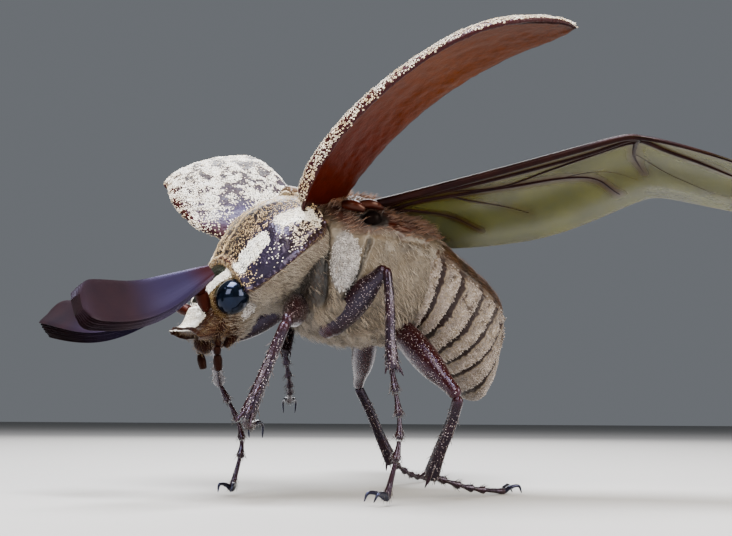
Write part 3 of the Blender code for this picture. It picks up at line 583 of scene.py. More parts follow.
legShape = {
    "move": (*stance["origin"][:2], 0.0), "size": {"fore": 0.95, "mid": 1.0, "hind": 1.08},
    "standing": ("fore_right", "mid_left", "hind_left", "hind_right"),
    "thigh": (0.95, 1.15, 1.18, 1.0, 0.66, 0.52), "shin": (0.42, 0.42, 0.44, 0.5, 0.62),   # radii
    # the right legs, on the far side, get fewer white flecks and look darker: painted shade
    "thighSides": 32, "shinSides": 28, "footSides": 14, "flecks": {"left": 0.42, "right": 0.15},
    "joint": (0.5, 0.55, 0.6, 0.66, 0.75, 0.85, 1.0, 1.1, 0.6),   # along a foot joint, as shares of "foot"
    "lastJoint": (0.5, 0.56, 0.6, 0.64, 0.68, 0.74, 0.86, 0.95, 0.5),
    "sag": {"fore_left": (0.3, 0.3, -0.3), "fore_right": (-1.5, -0.4, 0.0), "mid_left": (-0.6, 0.5, 0.0),
            "mid_right": (0.0, 0.6, -0.6), "hind_left": (0.0, 0.0, -0.3), "hind_right": (0.0, 0.0, -0.4)},
    "foot": 0.3, "claw": 1.6, "cuts": (0.0, 0.2, 0.38, 0.55, 0.71, 1.0),
}


def legPoints(leg):   # hip, knee, ankle and toe, where they stand
    hip, *others = legs[leg]
    return [placed(bodyFrame, hip)] + [np.array(point) + legShape["move"] for point in others]


def nearLegs(points):   # distance in mm from the thighs and shins
    best = np.full(points.shape[:-1], farAway)
    for leg in legs:
        corners = legPoints(leg)[:3]
        for a, b in zip(corners, corners[1:]):
            t = np.clip((points - a) @ (b - a) / np.dot(b - a, b - a), 0.0, 1.0)
            best = np.minimum(best, np.linalg.norm(points - a - t[..., None] * (b - a), axis=-1))
    return best


# Pronotum: dark plum horn, broken white stripes, crenulate rim and a hairy underside
pronotum = {
    "rows": 120, "columns": 220, "bow": 0.6,
    "table": [
        (-0.3, 5.3, -2.7, -0.15, -6.4, 2.3, 2.2), (0.4, 5.75, -3.1, 0.15, -7.2, 2.3, 1.9),
        (1.8, 6.2, -3.4, 0.35, -7.7, 2.2, 1.5), (3.6, 6.3, -3.75, 0.15, -7.7, 2.1, 1.35),
        (5.2, 5.5, -4.1, -0.55, -7.3, 2.1, 1.4), (6.4, 4.6, -4.3, -1.3, -6.8, 2.1, 1.7),
        (7.1, 3.9, -4.3, -1.8, -6.2, 2.1, 2.0)],
    "rearStripe": [(1.2, 5.2), (2.3, 5.15), (3.3, 4.95)],
    "frontStripe": [(5.05, 4.62), (5.67, 4.25), (6.6, 3.72), (7.1, 3.5)],
    "stripeHalf": 0.52, "medianHalf": 0.16,
    "scales": {"seed": 11, "spacing": 0.068, "length": (0.13, 0.2), "stand": 0.2, "scatter": 0.3},
}


def pronotumCover(x, y, spots):
    side = np.abs(y)
    rough = grain(spots, 0.5, 3.1)
    fine = grain(spots, 0.2, 9.0, 1)
    half = pronotum["stripeHalf"]
    rear = 1.0 - step(nearLine(x, side, pronotum["rearStripe"]) + 0.14 * rough, half * 0.85, half * 1.1)
    front = 1.0 - step(nearLine(x, side, pronotum["frontStripe"]) + 0.1 * rough, half * 0.9, half * 1.15)
    median = 1.0 - step(side + 0.12 * rough, pronotum["medianHalf"] * 0.8, pronotum["medianHalf"] * 1.5)
    stripes = np.maximum.reduce([rear, front, median])
    disc = 0.16 + 0.1 * step(side, 0.4, 3.0) + 0.26 * fine * (side < 4.8)
    hind = (0.26 + 0.6 * fine) * (1.0 - step(x, 0.8, 3.4)) * step(side, 1.0, 3.0)
    flank = (0.3 + 0.7 * fine) * step(side, 4.7, 5.6) * (1.0 - step(x, 3.4, 5.2))
    edge = 0.4 * (1.0 - step(x, -0.15, 0.2)) + 0.3 * step(x, 6.7, 7.0)
    loose = np.maximum.reduce([disc, hind, flank, edge])
    bare = step(side, 4.4, 4.9) * step(x, 3.2, 4.4)                  # glossy front corner
    loose = loose * (1.0 - 0.82 * bare)
    dot = 1.0 - step(np.hypot(x - 4.14, side - 4.86) + 0.05 * rough, 0.34, 0.46)
    pit = 1.0 - step(np.hypot((x - 3.6) / 1.5, side - 5.85), 0.16, 0.26)
    cover = np.clip(np.maximum(stripes, loose), 0.0, 1.0) * (1.0 - dot) * (1.0 - 0.9 * pit)
    white = np.clip(0.1 + 0.9 * front + 0.6 * rear + 0.35 * step(side, 4.6, 5.6) + 0.4 * bare, 0.0, 1.0)
    return cover, stripes, white


def makePronotum():
    x, angle = sectionGrid(pronotum)
    local = sectionPoints(pronotum["table"], x, angle, pronotum["bow"])
    upper = step(np.sin(angle), -0.05, 0.06)
    side = np.abs(local[..., 1])
    push = 0.14 * bell(x, 7.0, 0.16) * upper - 0.07 * bell(x, 6.6, 0.14) * upper
    push += 0.12 * bell(x, -0.2, 0.14) * upper - 0.05 * bell(x, 0.15, 0.14) * upper
    teeth = 0.75 + 0.25 * np.sin(2.0 * math.pi * x / 0.42)
    height = np.sin(angle)
    push += 0.15 * bell(height, 0.0, 0.04) * teeth - 0.08 * bell(height, 0.1, 0.035)
    push -= 0.16 * bell(np.hypot((x - 3.8) / 1.7, side - 5.95), 0.0, 0.22) * upper
    push -= 0.06 * bell(local[..., 1], 0.0, 0.5) * upper * step(x, 0.5, 2.0)
    push += 0.05 * grain(local, 1.4, 5.0) * upper
    below = 1.0 - step(height, -0.25, -0.06)
    push -= 0.5 * below * bell(x, 3.4, 3.0) * step(np.abs(np.cos(angle)), 0.3, 0.8)
    local = local + gridNormals(local) * push[..., None]
    points = placed(neckFrame, local)
    horn = hornMaterial("pronotumHorn", "#0e0805", "#1c110b", rough=0.3, coat=0.35, pitSize=0.2,
                        pitDepth=0.03, tint="#b9ade8", red="#2c1006", bloom="#191420")
    skin = gridObject("prothorax", points, horn)
    edges = np.maximum(bell(x, 7.0, 0.2), bell(x, -0.3, 0.15)) * upper
    paint(skin, "red", np.clip(0.8 * edges + 0.5 * (1.0 - upper), 0.0, 1.0))
    paint(skin, "felt", 1.0 - step(height, -0.2, -0.06))
    # painted sheen: violet on the bare front of the disc
    paint(skin, "bloom", step(local[..., 0], 3.6, 5.0) * step(side, 2.8, 3.8) * upper)
    keep(skin, "horn", "prothorax")
    cover, stripes, white = pronotumCover(local[..., 0], local[..., 1], local)
    cover *= step(height, 0.05, 0.12)
    sign = np.sign(local[..., 1])
    backward = heading(neckFrame, -1.0, 0.25 * sign, 0.0)
    growCoat("pronotumScales", [(skin, cover, backward, 0.85 + 0.2 * stripes, white)], flake, whiteScales,
             pronotum["scales"])
    below = (1.0 - step(height, -0.16, -0.04)) * (0.75 + 0.3 * grain(local, 1.2, 2.0))
    below *= step(nearLegs(points), 0.9, 1.5)
    down = heading(neckFrame, -0.5, 0.3 * sign, -0.8)
    growCoat("underHair", [(skin, np.clip(below, 0, 1), down, 1.0, 0.7)], hair, greyHair,
             {"seed": 5, "spacing": 0.125, "length": (0.34, 0.6), "stand": 0.2, "scatter": 0.45})
    collar = 0.8 * bell(x, -0.3, 0.1) * step(side, 1.2, 2.0)
    fringe = np.clip(np.maximum(0.7 * bell(x, 7.1, 0.1), collar) * upper, 0, 1)
    apart = heading(neckFrame, np.where(x > 3.0, 1.0, -1.0), 0.0, -0.25)
    growCoat("collarFringe", [(skin, fringe, apart, 1.0, 0.6)], lash, ochreHair,
             {"seed": 8, "spacing": 0.08, "length": (0.25, 0.45), "stand": 0.1, "scatter": 0.3})
    margin = bell(height, -0.02, 0.05) * step(x, -0.2, 0.3)
    outward = heading(neckFrame, -0.4, sign, -0.6)
    growCoat("marginBristles", [(skin, np.clip(margin, 0, 1), outward, 1.0, 0.4)], lash, ochreHair,
             {"seed": 9, "spacing": 0.2, "length": (0.4, 0.75), "stand": 0.2, "scatter": 0.2})


# Head: square scaled clypeus with an upturned rim, glossy green-black vertex, hairy underside
headShape = {
    "rows": 120, "columns": 180,
    "table": [
        (-1.6, 2.3, -1.1, 0.5, -2.7, 2.2, 2.2), (-0.4, 3.0, -1.0, 1.0, -3.3, 2.3, 2.2),
        (1.2, 3.1, -0.9, 1.15, -3.5, 2.5, 2.2), (2.4, 2.75, -0.7, 0.95, -3.6, 3.0, 2.2),
        (3.3, 2.5, -0.4, 0.6, -3.3, 3.6, 2.0), (4.3, 2.6, -0.3, 0.35, -1.9, 4.0, 2.4),
        (5.1, 2.75, 0.0, 0.5, -0.7, 4.5, 3.5), (5.4, 2.7, 0.1, 0.55, -0.35, 4.5, 4.0)],
    "browLine": [(2.3, 1.35), (1.3, 1.75), (0.45, 2.1), (-0.3, 2.2)],
}


def makeHead():
    x, angle = sectionGrid(headShape)
    local = sectionPoints(headShape["table"], x, angle)
    side = np.abs(local[..., 1])
    upper = step(np.sin(angle), 0.0, 0.12)
    push = -0.12 * bell(x, 3.0, 0.16) * upper                      # groove between clypeus and brow
    push += 0.16 * bell(x, 5.3, 0.13) * upper                      # upturned front rim
    push += 0.1 * bell(np.sin(angle), 0.1, 0.07) * step(x, 3.2, 3.6)
    push -= 0.18 * bell(side, 0.0, 1.6) * bell(x, 4.4, 0.7) * upper  # dished clypeus
    push += 0.04 * grain(local, 0.8, 7.0)
    local = local + gridNormals(local) * push[..., None]
    front = local[-3].mean(axis=0)
    for row, inset, back in ((-2, 0.07, 0.0), (-1, 0.12, 0.35)):    # the dark hollow under the front rim
        local[row] = local[-3] + unit(front - local[-3]) * inset - (back, 0.0, 0.0)
    points = placed(headFrame, local)
    horn = hornMaterial("headHorn", "#060804", "#100e06", rough=0.4, coat=0.1, pitSize=0.18,
                        pitDepth=0.03, tint="#a9b088", red="#240703", bloom="#4d3a1f", gloss=0.26)
    skin = gridObject("head", points, horn)
    y, z = local[..., 1], local[..., 2]
    low = 1.0 - step(np.sin(angle), -0.5, 0.05)
    flank = step(side, 1.9, 2.3) * step(x, 1.9, 2.5)
    paint(skin, "red", np.clip(low + 0.4 * bell(x, 5.4, 0.2) + flank, 0.0, 1.0))
    ring = bell(np.hypot((x - 1.55) / 1.36, (z + 0.5) / 1.2), 1.1, 0.1)   # round the eye
    orbit = np.clip(ring * step(side, 1.6, 2.2) * step(z, -1.3, -0.5), 0, 1)
    paint(skin, "bloom", orbit)
    paint(skin, "felt", 0.8 * low * (1.0 - step(x, 2.0, 3.2)))
    keep(skin, "horn", "head")
    rough = grain(local, 0.4, 1.7)
    top = step(np.sin(angle), 0.12, 0.2)
    plate = step(x, 2.7, 3.0) * (1.0 - step(x, 5.3, 5.36)) * (1.0 - step(side + 0.1 * rough, 2.05, 2.3))
    brow = 1.0 - step(nearLine(x, side, headShape["browLine"]) + 0.08 * rough, 0.34, 0.46)
    cover = np.clip(np.maximum(plate * (1.0 - 0.4 * step(rough, 0.6, 0.9)), brow), 0.0, 1.0) * top
    ahead = heading(headFrame, 1.0, 0.2 * np.sign(y), 0.0)
    growCoat("faceScales", [(skin, cover, ahead, 1.0, 0.9)], broadFlake, whiteScales,
             {"seed": 21, "spacing": 0.065, "length": (0.16, 0.22), "stand": 0.1, "scatter": 0.15})
    cheek = 1.0 - step(np.hypot((x - 1.3) / 1.15, (z + 2.1) / 0.5) + 0.12 * rough, 0.8, 1.05)
    under = np.clip(low * (0.8 + 0.3 * rough) * (1.0 - step(x, 2.6, 4.4)) * (1.0 - 0.9 * cheek), 0, 1)
    back = heading(headFrame, -0.5, 0.5 * np.sign(y), -0.7)
    growCoat("chinHair", [(skin, under, back, 1.0, 0.75)], hair, greyHair,
             {"seed": 22, "spacing": 0.14, "length": (0.35, 0.6), "stand": 0.35, "scatter": 0.4})
    face = np.clip(step(x, 2.0, 2.8) * (1.0 - top * step(2.3 - side, 0.0, 0.2)), 0, 1)
    growCoat("cheekScales", [(skin, cheek, back, 1.0, 0.8)], flake, greyScales,
             {"seed": 27, "spacing": 0.08, "length": (0.14, 0.22), "stand": 0.3, "scatter": 0.4})
    growCoat("cheekHair", [(skin, face * 0.7, back, 1.0, 0.2)], lash, ochreHair,
             {"seed": 24, "spacing": 0.14, "length": (0.25, 0.5), "stand": 0.5, "scatter": 0.5})
    growCoat("browHair", [(skin, orbit, ahead, 1.0, 0.7)], lash, ochreHair,
             {"seed": 23, "spacing": 0.07, "length": (0.16, 0.26), "stand": 0.3, "scatter": 0.3})


# Eyes: black, wet-looking domes of fine facets
eyes = {"centre": (1.55, 2.95, -0.5), "radii": (1.36, 1.15, 1.2)}


def eyeMaterial():
    # Compound eye: lacquer black, the facets a fine honeycomb under a clear cornea
    material, tree, shader, spot = newMaterial("eyeCornea", {
        "Roughness": 0.13, "Specular IOR Level": 0.22, "Coat Weight": 0.12, "Coat Roughness": 0.05,
        "Specular Tint": colour("#8fb0ff")})
    facets = add(tree, "ShaderNodeTexVoronoi", {"Scale": 1.0 / 0.07, "Randomness": 0.15}, {"Vector": spot})
    bump = add(tree, "ShaderNodeBump", {"Strength": 0.35, "Distance": 0.004 * mm}, {"Height": facets})
    tree.links.new(bump.outputs[0], shader.inputs["Normal"])
    depth = add(tree, "ShaderNodeTexNoise", {"Scale": 1.0 / 0.9, "Detail": 4.0, "Roughness": 0.55},
                {"Vector": spot})
    tone = add(tree, "ShaderNodeValToRGB", {"stops": [(0.35, "#020304"), (0.7, "#060c16")]}, {"Fac": depth})
    tree.links.new(tone.outputs[0], shader.inputs["Base Color"])
    return material


def makeEyes():
    material = eyeMaterial()
    theta = np.linspace(0.0, math.pi, 42)[:, None]
    phi = np.linspace(0.0, 2.0 * math.pi, 64, endpoint=False)[None, :]
    ball = np.stack([np.sin(theta) * np.cos(phi), np.sin(theta) * np.sin(phi), np.cos(theta) + 0 * phi], -1)
    for side, label in bothSides:
        centre = np.array(eyes["centre"]) * (1, side, 1)
        points = placed(headFrame, ball[1:-1] * eyes["radii"] + centre)
        keep(gridObject("eye_" + label, points, material), "eye", "eye_" + label)


# Feelers: a short jointed stalk and a fan of seven long blades
feeler = {
    "base": {1: (6.4, 3.7, -6.6), -1: (7.2, -3.6, -8.6)},
    "tip": {1: (15.9, 7.0, -9.5), -1: (15.4, -11.5, -9.9)},
    "bend": {1: (0.0, -0.8, -0.96), -1: (1.28, 2.24, -0.96)},
    "face": {1: (0.32, 0.86, 0.26), -1: (0.24, 1.0, 0.6)},
    "root": (3.3, 2.0, 0.2), "knee": {1: (2.4, 2.3, 1.6), -1: (3.15, -3.3, 0.9)},
    "blades": 7, "width": 3.1, "stack": 1.4, "blade": 0.185, "columns": 15,
    "outline": [(0.0, 0.3), (0.12, 0.5), (0.35, 0.86), (0.6, 1.0), (0.9, 1.0), (0.97, 0.8), (1.0, 0.4)],
    "joints": [(0, 13, 0.3, 0.5), (13, 17, 0.38, 0.42), (17, 21, 0.36, 0.4), (21, 25, 0.36, 0.42),
               (25, 29, 0.4, 0.5)],   # first and last point of the stalk, radius at its root and its end
}


def bladeMaterial():
    # Feeler blade: thin tanned cuticle, satin, plum brown with fine lengthwise lines and a violet painted
    # sheen near the root
    material, tree, shader, spot = newMaterial("feelerBlade", {
        "Specular IOR Level": 0.17, "Specular Tint": colour("#9c92d6"), "Coat Weight": 0.04,
        "Coat Roughness": 0.3})
    place = add(tree, "ShaderNodeUVMap", {"uv_map": "skinUv"})
    lines = add(tree, "ShaderNodeMapping", {"Scale": (60.0, 2.0, 1.0)}, {"Vector": place})
    streak = add(tree, "ShaderNodeTexNoise", {"Scale": 1.0, "Detail": 3.0}, {"Vector": lines})
    mottle = add(tree, "ShaderNodeTexNoise", {"Scale": 1.0 / 2.4, "Detail": 4.0, "Roughness": 0.55},
                 {"Vector": spot})
    base = add(tree, "ShaderNodeValToRGB", {"stops": [(0.3, "#0f0605"), (0.7, "#1b0d0a")]}, {"Fac": mottle})
    # painted sheen: violet over the base half of each blade, which is also glossier
    tone = overlay(tree, base, [("violet", "#1b1629"), ("red", "#210703")])
    share = add(tree, "ShaderNodeMath", {"operation": "MULTIPLY", 1: 0.3}, {0: streak})
    lined = add(tree, "ShaderNodeMixRGB", {"Color2": "#0c0608"}, {"Fac": share, "Color1": tone})
    tree.links.new(lined.outputs[0], shader.inputs["Base Color"])
    violet = add(tree, "ShaderNodeAttribute", {"attribute_name": "violet"}).outputs["Fac"]
    shine = add(tree, "ShaderNodeMapRange", {"To Min": 0.58, "To Max": 0.33}, {"Value": violet})
    tree.links.new(shine.outputs[0], shader.inputs["Roughness"])
    bump = add(tree, "ShaderNodeBump", {"Strength": 1.0, "Distance": 0.004 * mm}, {"Height": streak})
    tree.links.new(bump.outputs[0], shader.inputs["Normal"])
    return material


def bladeRings(side, centres, along, ts, level):   # level runs from -1 to 1 through the stack of blades
    across = unit(np.cross(along, feeler["face"][side]))
    above = unit(np.cross(across, along))
    outline = np.array(feeler["outline"])
    size = through(ts, outline[:, 0], outline[:, 1])
    grow = 1.0 - 0.035 * abs(level) - 0.02 * (round((level + 1.0) / 2.0 * (feeler["blades"] - 1)) % 2)
    apart = feeler["stack"] / 2.0 - feeler["blade"] / 2.0
    lift = level * apart * (0.45 + 0.55 * size) * (1.0 + 0.12 * ts ** 3)
    v = np.concatenate([np.linspace(-1, 1, feeler["columns"]), np.linspace(1, -1, feeler["columns"])])
    rings = []
    for i in range(len(ts)):
        half = feeler["width"] / 2.0 * size[i] * grow
        thick = feeler["blade"] / 2.0 * (0.55 + 0.45 * size[i])
        profile = thick * np.sqrt(np.clip(1.0 - np.abs(v) ** 4, 0.0, 1.0)) + 0.004
        profile[feeler["columns"]:] *= -1.0
        cup = 0.10 * size[i] * (v ** 2 - 0.4) * (1.0 if level >= 0 else -1.0) * abs(level)
        curl = 0.5 * ts[i] ** 8 * (v * 0.35)
        rings.append(centres[i] + np.outer(v * half, across[i])
                     + np.outer(lift[i] + profile + cup + curl * 0.4, above[i]))
    return np.array(rings)


def makeStalk(side, end):   # the long first joint, four short ones and the root in the head
    root = placed(headFrame, np.array(feeler["root"]) * (1, side, 1))
    knee = placed(headFrame, feeler["knee"][side])
    inner = placed(headFrame, (np.array(feeler["root"]) - (0.5, 0.6, 0.1)) * (1, side, 1))
    path = pathThrough([root, knee, end], np.linspace(0.0, 1.0, 30))
    stalk = Bundle()
    for first, last, thin, thick in feeler["joints"]:
        joint = path[[first, (first + last) // 2, last]]
        stalk.add(*gridParts(roundedTube(joint, [thin, thick * 0.95, thick], count=10, sides=18)))
    inside = roundedTube([inner, (inner + root) / 2, root], [0.35, 0.5, 0.42], count=8, sides=18)
    stalk.add(*gridParts(inside))
    return stalk


def makeFeelers():
    blades = bladeMaterial()
    horn = hornMaterial("feelerHorn", "#140302", "#290703", rough=0.42, coat=0.05, pitSize=0.3,
                        pitDepth=0.02, tint="#c07a60", gloss=0.2)
    ts = np.concatenate([np.linspace(0.0, 0.9, 40), np.linspace(0.915, 1.0, 12)])
    for side, label in bothSides:
        base, tip = np.array(feeler["base"][side]), np.array(feeler["tip"][side])
        middle = (base + tip) / 2.0 + feeler["bend"][side]
        centres = pathThrough([base, middle, tip], ts)
        along = unit(np.gradient(centres, axis=0))
        fan = Bundle()
        for k in range(feeler["blades"]):
            level = (k - (feeler["blades"] - 1) / 2.0) / (feeler["blades"] - 1) * 2.0
            fan.add(*gridParts(placed(bodyFrame, bladeRings(side, centres, along, ts, level))))
        piece = fan.finish("club_" + label, blades, smooth=50.0)
        # red at the very root; a violet painted sheen over the base half
        for tint, change in (("red", 1.0 - step(ts, 0.02, 0.2)), ("violet", 1.0 - step(ts, 0.3, 0.7))):
            blade = np.concatenate([np.repeat(change, 2 * feeler["columns"]), change[[0, -1]]])
            paint(piece, tint, np.tile(blade, feeler["blades"]))
        keep(piece, "club", "club_" + label)
        stalk = makeStalk(side, placed(bodyFrame, base + along[0] * 0.35))
        keep(stalk.finish("antenna_" + label, horn), "leg", "antenna_" + label)


# Mouthparts: lip, jaws and the jointed palps under the clypeus
mouth = {
    "root": (4.0, 1.5, -1.6), "tip": (6.3, 1.7, -3.0),   # of the palps
    "joints": [(0, 5, 0.17, 0.24), (5, 10, 0.18, 0.27), (10, 15, 0.2, 0.28), (15, 24, 0.24, 0.33)],
}


def makeMouth():
    horn = hornMaterial("mouthHorn", "#0b0302", "#1c0603", rough=0.5, coat=0.03, pitSize=0.2,
                        pitDepth=0.03, tint="#b08878", gloss=0.18)
    parts = Bundle()
    lip = [(4.6, 0.0, -0.9), (5.0, 0.0, -1.5), (4.9, 0.0, -2.1)]
    lip = roundedTube(placed(headFrame, lip), [0.5, 0.75, 0.45], count=12, sides=22, lean=(1.0, 0.0, 0.0))
    parts.add(*gridParts(lip))
    for side, _ in bothSides:
        jaw = [(2.9, 1.9, -1.0), (4.0, 2.0, -1.2), (4.8, 1.3, -1.5)]
        lobe = [(2.6, 1.1, -2.2), (3.6, 1.3, -2.6), (4.5, 1.0, -2.6)]
        for path, radii in ((jaw, [0.5, 0.52, 0.26]), (lobe, [0.5, 0.42, 0.22])):
            path = [(px, py * side, pz) for px, py, pz in path]
            parts.add(*gridParts(roundedTube(placed(headFrame, path), radii, count=12, sides=18)))
    jaws = keep(parts.finish("jaws", horn), "horn")
    growCoat("mouthHair", [(jaws, 0.8, turned(headFrame, (0.6, 0.0, -0.8)), 1.0, 0.3)], lash, ochreHair,
             {"seed": 26, "spacing": 0.17, "length": (0.3, 0.55), "stand": 0.5, "scatter": 0.5})
    for side, label in bothSides:
        root = np.array(mouth["root"]) * (1, side, 1)
        tip = np.array(mouth["tip"]) * (1, side, 1)
        middle = (root + tip) / 2.0 + (0.0, 0.35 * side, 0.3)
        path = placed(headFrame, pathThrough([root, middle, tip], np.linspace(0.0, 1.0, 25)))
        palp = Bundle()
        for first, last, thin, thick in mouth["joints"]:
            joint = path[[first, (first + last) // 2, last]]
            palp.add(*gridParts(roundedTube(joint, [thin, thick, thick * 0.8], count=8, sides=14)))
        keep(palp.finish("palp_" + label, horn), "leg", "palp_" + label)


# Thorax: olive-brown plates almost hidden in beige wool, a grey scaled side plate, orange fuzz on top
thorax = {
    "rows": 130, "columns": 200,
    "table": [
        (-11.0, 5.9, -4.6, -1.3, -9.9, 2.3, 2.3), (-9.3, 6.2, -4.6, -0.5, -10.7, 2.3, 2.3),
        (-7.3, 6.3, -4.6, 0.15, -11.1, 2.3, 2.3), (-5.2, 6.2, -4.6, 0.2, -11.1, 2.3, 2.3),
        (-3.0, 5.7, -4.6, -0.1, -10.6, 2.4, 2.3), (-1.2, 4.7, -4.4, -0.35, -9.4, 2.4, 2.3),
        (0.8, 3.9, -4.4, -1.0, -8.2, 2.4, 2.3)],
}


def thoraxMaterial():
    # Soft and hard plates of the trunk: brown cuticle, with painted shade in the gaps and hollows
    material, tree, shader, spot = newMaterial("thoraxCuticle", {
        "Roughness": 0.45, "Specular IOR Level": 0.5, "Coat Weight": 0.15})
    mottle = add(tree, "ShaderNodeTexNoise", {"Scale": 1.0 / 1.4, "Detail": 5.0, "Roughness": 0.65},
                 {"Vector": spot})
    base = add(tree, "ShaderNodeValToRGB", {"stops": [(0.3, "#2c241a"), (0.7, "#635847")]}, {"Fac": mottle})
    # 'dark' is painted shade in the plate gaps, the wing socket and the neck hollow
    tone = overlay(tree, base, [("rust", "#2e0f04"), ("plate", "#6b6866"), ("dark", "#070403")])
    tree.links.new(tone.outputs[0], shader.inputs["Base Color"])
    fine = add(tree, "ShaderNodeTexNoise", {"Scale": 1.0 / 0.25, "Detail": 5.0, "Roughness": 0.7},
               {"Vector": spot})
    pits = add(tree, "ShaderNodeTexVoronoi", {"Scale": 1.0 / 0.3, "Randomness": 0.85}, {"Vector": spot})
    height = add(tree, "ShaderNodeMath", {"operation": "ADD"}, {0: fine, 1: pits})
    bump = add(tree, "ShaderNodeBump", {"Strength": 1.0, "Distance": 0.06 * mm}, {"Height": height})
    tree.links.new(bump.outputs[0], shader.inputs["Normal"])
    return material


def makeThorax():
    x, angle = sectionGrid(thorax)
    local = sectionPoints(thorax["table"], x, angle)
    y, z = local[..., 1], local[..., 2]
    side = np.abs(y)
    top = step(np.sin(angle), 0.35, 0.75)
    flank = step(np.abs(np.cos(angle)), 0.5, 0.8)
    push = 0.12 * grain(local, 2.6, 4.0)
    push += top * (0.25 * bell(side, 1.9, 1.0) * bell(x, -5.2, 2.0)
                   - 0.35 * bell(y, 0.0, 0.5) * step(-x, 3.6, 4.4)
                   - 0.28 * bell(x, -7.6, 0.3) - 0.2 * bell(x, -3.6, 0.25))
    plateGap = bell(nearLine(x, z, [(-1.7, -2.6), (-2.1, -8.4)]), 0.0, 0.22) + bell(
        nearLine(x, z, [(-4.9, -3.6), (-3.4, -8.0)]), 0.0, 0.2)
    push -= 0.3 * flank * plateGap
    push += 0.25 * flank * bell(x, -3.2, 0.9) * bell(z, -5.6, 1.6)
    push -= 0.12 * flank * bell(nearLine(x, z, [(-5.0, -3.0), (-9.6, -3.6)]), 0.0, 0.2)
    push -= 0.7 * bell(np.hypot((x + 5.4) / 1.3, z + 1.6), 0.0, 0.5) * flank   # wing socket
    push -= 0.75 * step(x, -1.4, -0.2) * flank                 # neck hollow behind the pronotum
    local = local + gridNormals(local) * push[..., None]
    points = placed(bodyFrame, local)
    skin = gridObject("thorax", points, thoraxMaterial())
    ridge = step(z + 0.3 * grain(local, 0.9, 3.0), -3.6, -2.6) * step(-x, 2.4, 3.2)
    rust = np.clip(top * (0.75 + 0.4 * grain(local, 1.2, 8.0)) + 0.8 * ridge * flank, 0, 1)
    plate = np.clip(step(bell(x, -3.1, 1.05) * bell(z, -5.2, 2.3), 0.33, 0.5) * flank, 0, 1)
    socket = 1.0 - step(np.hypot((x + 5.3) / 1.9, z + 1.9) + 0.15 * grain(local, 0.5, 1.0), 0.5, 0.9)
    # painted shade: near black in the gaps between plates, the wing socket's hollow and the neck hollow
    # behind the pronotum
    dark = np.clip(0.9 * flank * plateGap + socket + 0.9 * step(x, -2.1, -1.5) * flank, 0, 1)
    paint(skin, "rust", rust)
    paint(skin, "plate", plate)
    paint(skin, "dark", dark)
    keep(skin, "wool", "thorax")
    rough = grain(local, 0.9, 2.2)
    wool = (1.0 - step(z, -5.4, -3.6)) * (0.75 + 0.35 * rough)
    wool = np.maximum(wool, 0.5 * step(-x, 4.6, 6.0) * (1.0 - step(z, -3.6, -2.4)))
    # the wool thins off the grey plate and where the painted shade lies
    wool *= (1.0 - 0.93 * plate) * (1.0 - 0.8 * flank * plateGap) * (1.0 - 0.92 * step(x, -2.2, -1.7) * flank)
    wool *= step(nearLegs(points), 0.9, 1.5)
    back = heading(bodyFrame, -0.55 + 0.25 * rough, 0.15 * np.sign(y), -0.75 + 0.25 * grain(local, 1.7, 6.0))
    length = 0.75 + 0.45 * step(-z, 7.0, 10.0) + 0.2 * rough
    growCoat("breastWool", [(skin, np.clip(wool, 0, 1), back, length, 0.5 + 0.5 * rough)], hair, woolHair,
             {"seed": 31, "spacing": 0.16, "length": (0.55, 0.95), "stand": 0.22, "scatter": 0.42})
    growCoat("plateScales", [(skin, plate, back, 1.0, 0.8)], flake, greyScales,
             {"seed": 32, "spacing": 0.08, "length": (0.14, 0.24), "stand": 0.3, "scatter": 0.45})
    fuzz = np.clip((top * step(side, 0.6, 1.4) * 0.6 + 0.6 * ridge * flank) * (1.0 - socket), 0, 1)
    raised = heading(bodyFrame, -0.8, 0.35 * np.sign(y), 0.25)
    growCoat("backFuzz", [(skin, fuzz, raised, 1.0, 0.6)], hair, orangeHair,
             {"seed": 33, "spacing": 0.19, "length": (0.5, 0.95), "stand": 0.45, "scatter": 0.45})
    # dark hair in the neck hollow behind the pronotum: painted shade
    neck = np.clip(step(x, -2.0, -1.5) * (1.0 - step(z, -3.0, -1.6)) * (1.0 - plate), 0, 1)
    growCoat("neckFuzz", [(skin, 0.6 * neck, back, 1.0, 0.3)], hair, neckShadeHair,
             {"seed": 34, "spacing": 0.2, "length": (0.4, 0.8), "stand": 0.4, "scatter": 0.4})
    makeSockets()


sockets = {   # (path, radii) of each small hard piece round the wing's root, on the left side
    # the cup is a dull near-black piece in the wing socket: painted shade of its hollow
    "cup": ([(-4.9, 5.0, -2.3), (-5.3, 5.45, -1.9), (-5.9, 5.0, -2.1)], [0.45, 0.62, 0.4]),
    "front": ([(-3.1, 4.6, -0.9), (-3.9, 5.2, -1.0), (-4.7, 5.35, -1.3)], [0.3, 0.42, 0.22]),
    "shoulder": ([(-4.3, 4.9, -0.9), (-5.2, 5.2, -0.75), (-6.4, 5.0, -0.95)], [0.3, 0.36, 0.2]),
    "hind": ([(-5.9, 5.3, -2.3), (-7.0, 5.75, -2.5), (-8.4, 5.8, -2.6)], [0.34, 0.4, 0.16]),
}


def makeSockets():
    horn = hornMaterial("socketHorn", "#120302", "#3a1004", rough=0.34, coat=0.25, pitSize=0.3,
                        pitDepth=0.02, tint="#d8a890", gloss=0.3)
    # near-black dull horn of the socket cup: painted shade
    black = hornMaterial("socketShadeCup", "#030202", "#080404", rough=0.5, coat=0.03, pitSize=0.4,
                         pitDepth=0.01, tint="#806860", gloss=0.12)
    pieces = Bundle()
    cups = Bundle()
    for side, _ in bothSides:
        for label, (path, radii) in sockets.items():
            path = placed(bodyFrame, [(x, y * side, z) for x, y, z in path])
            group = cups if label == "cup" else pieces
            group.add(*gridParts(roundedTube(path, radii, count=14, sides=18)))
    keep(pieces.finish("wingSclerites", horn), "horn")
    keep(cups.finish("wingSockets", black), "horn")


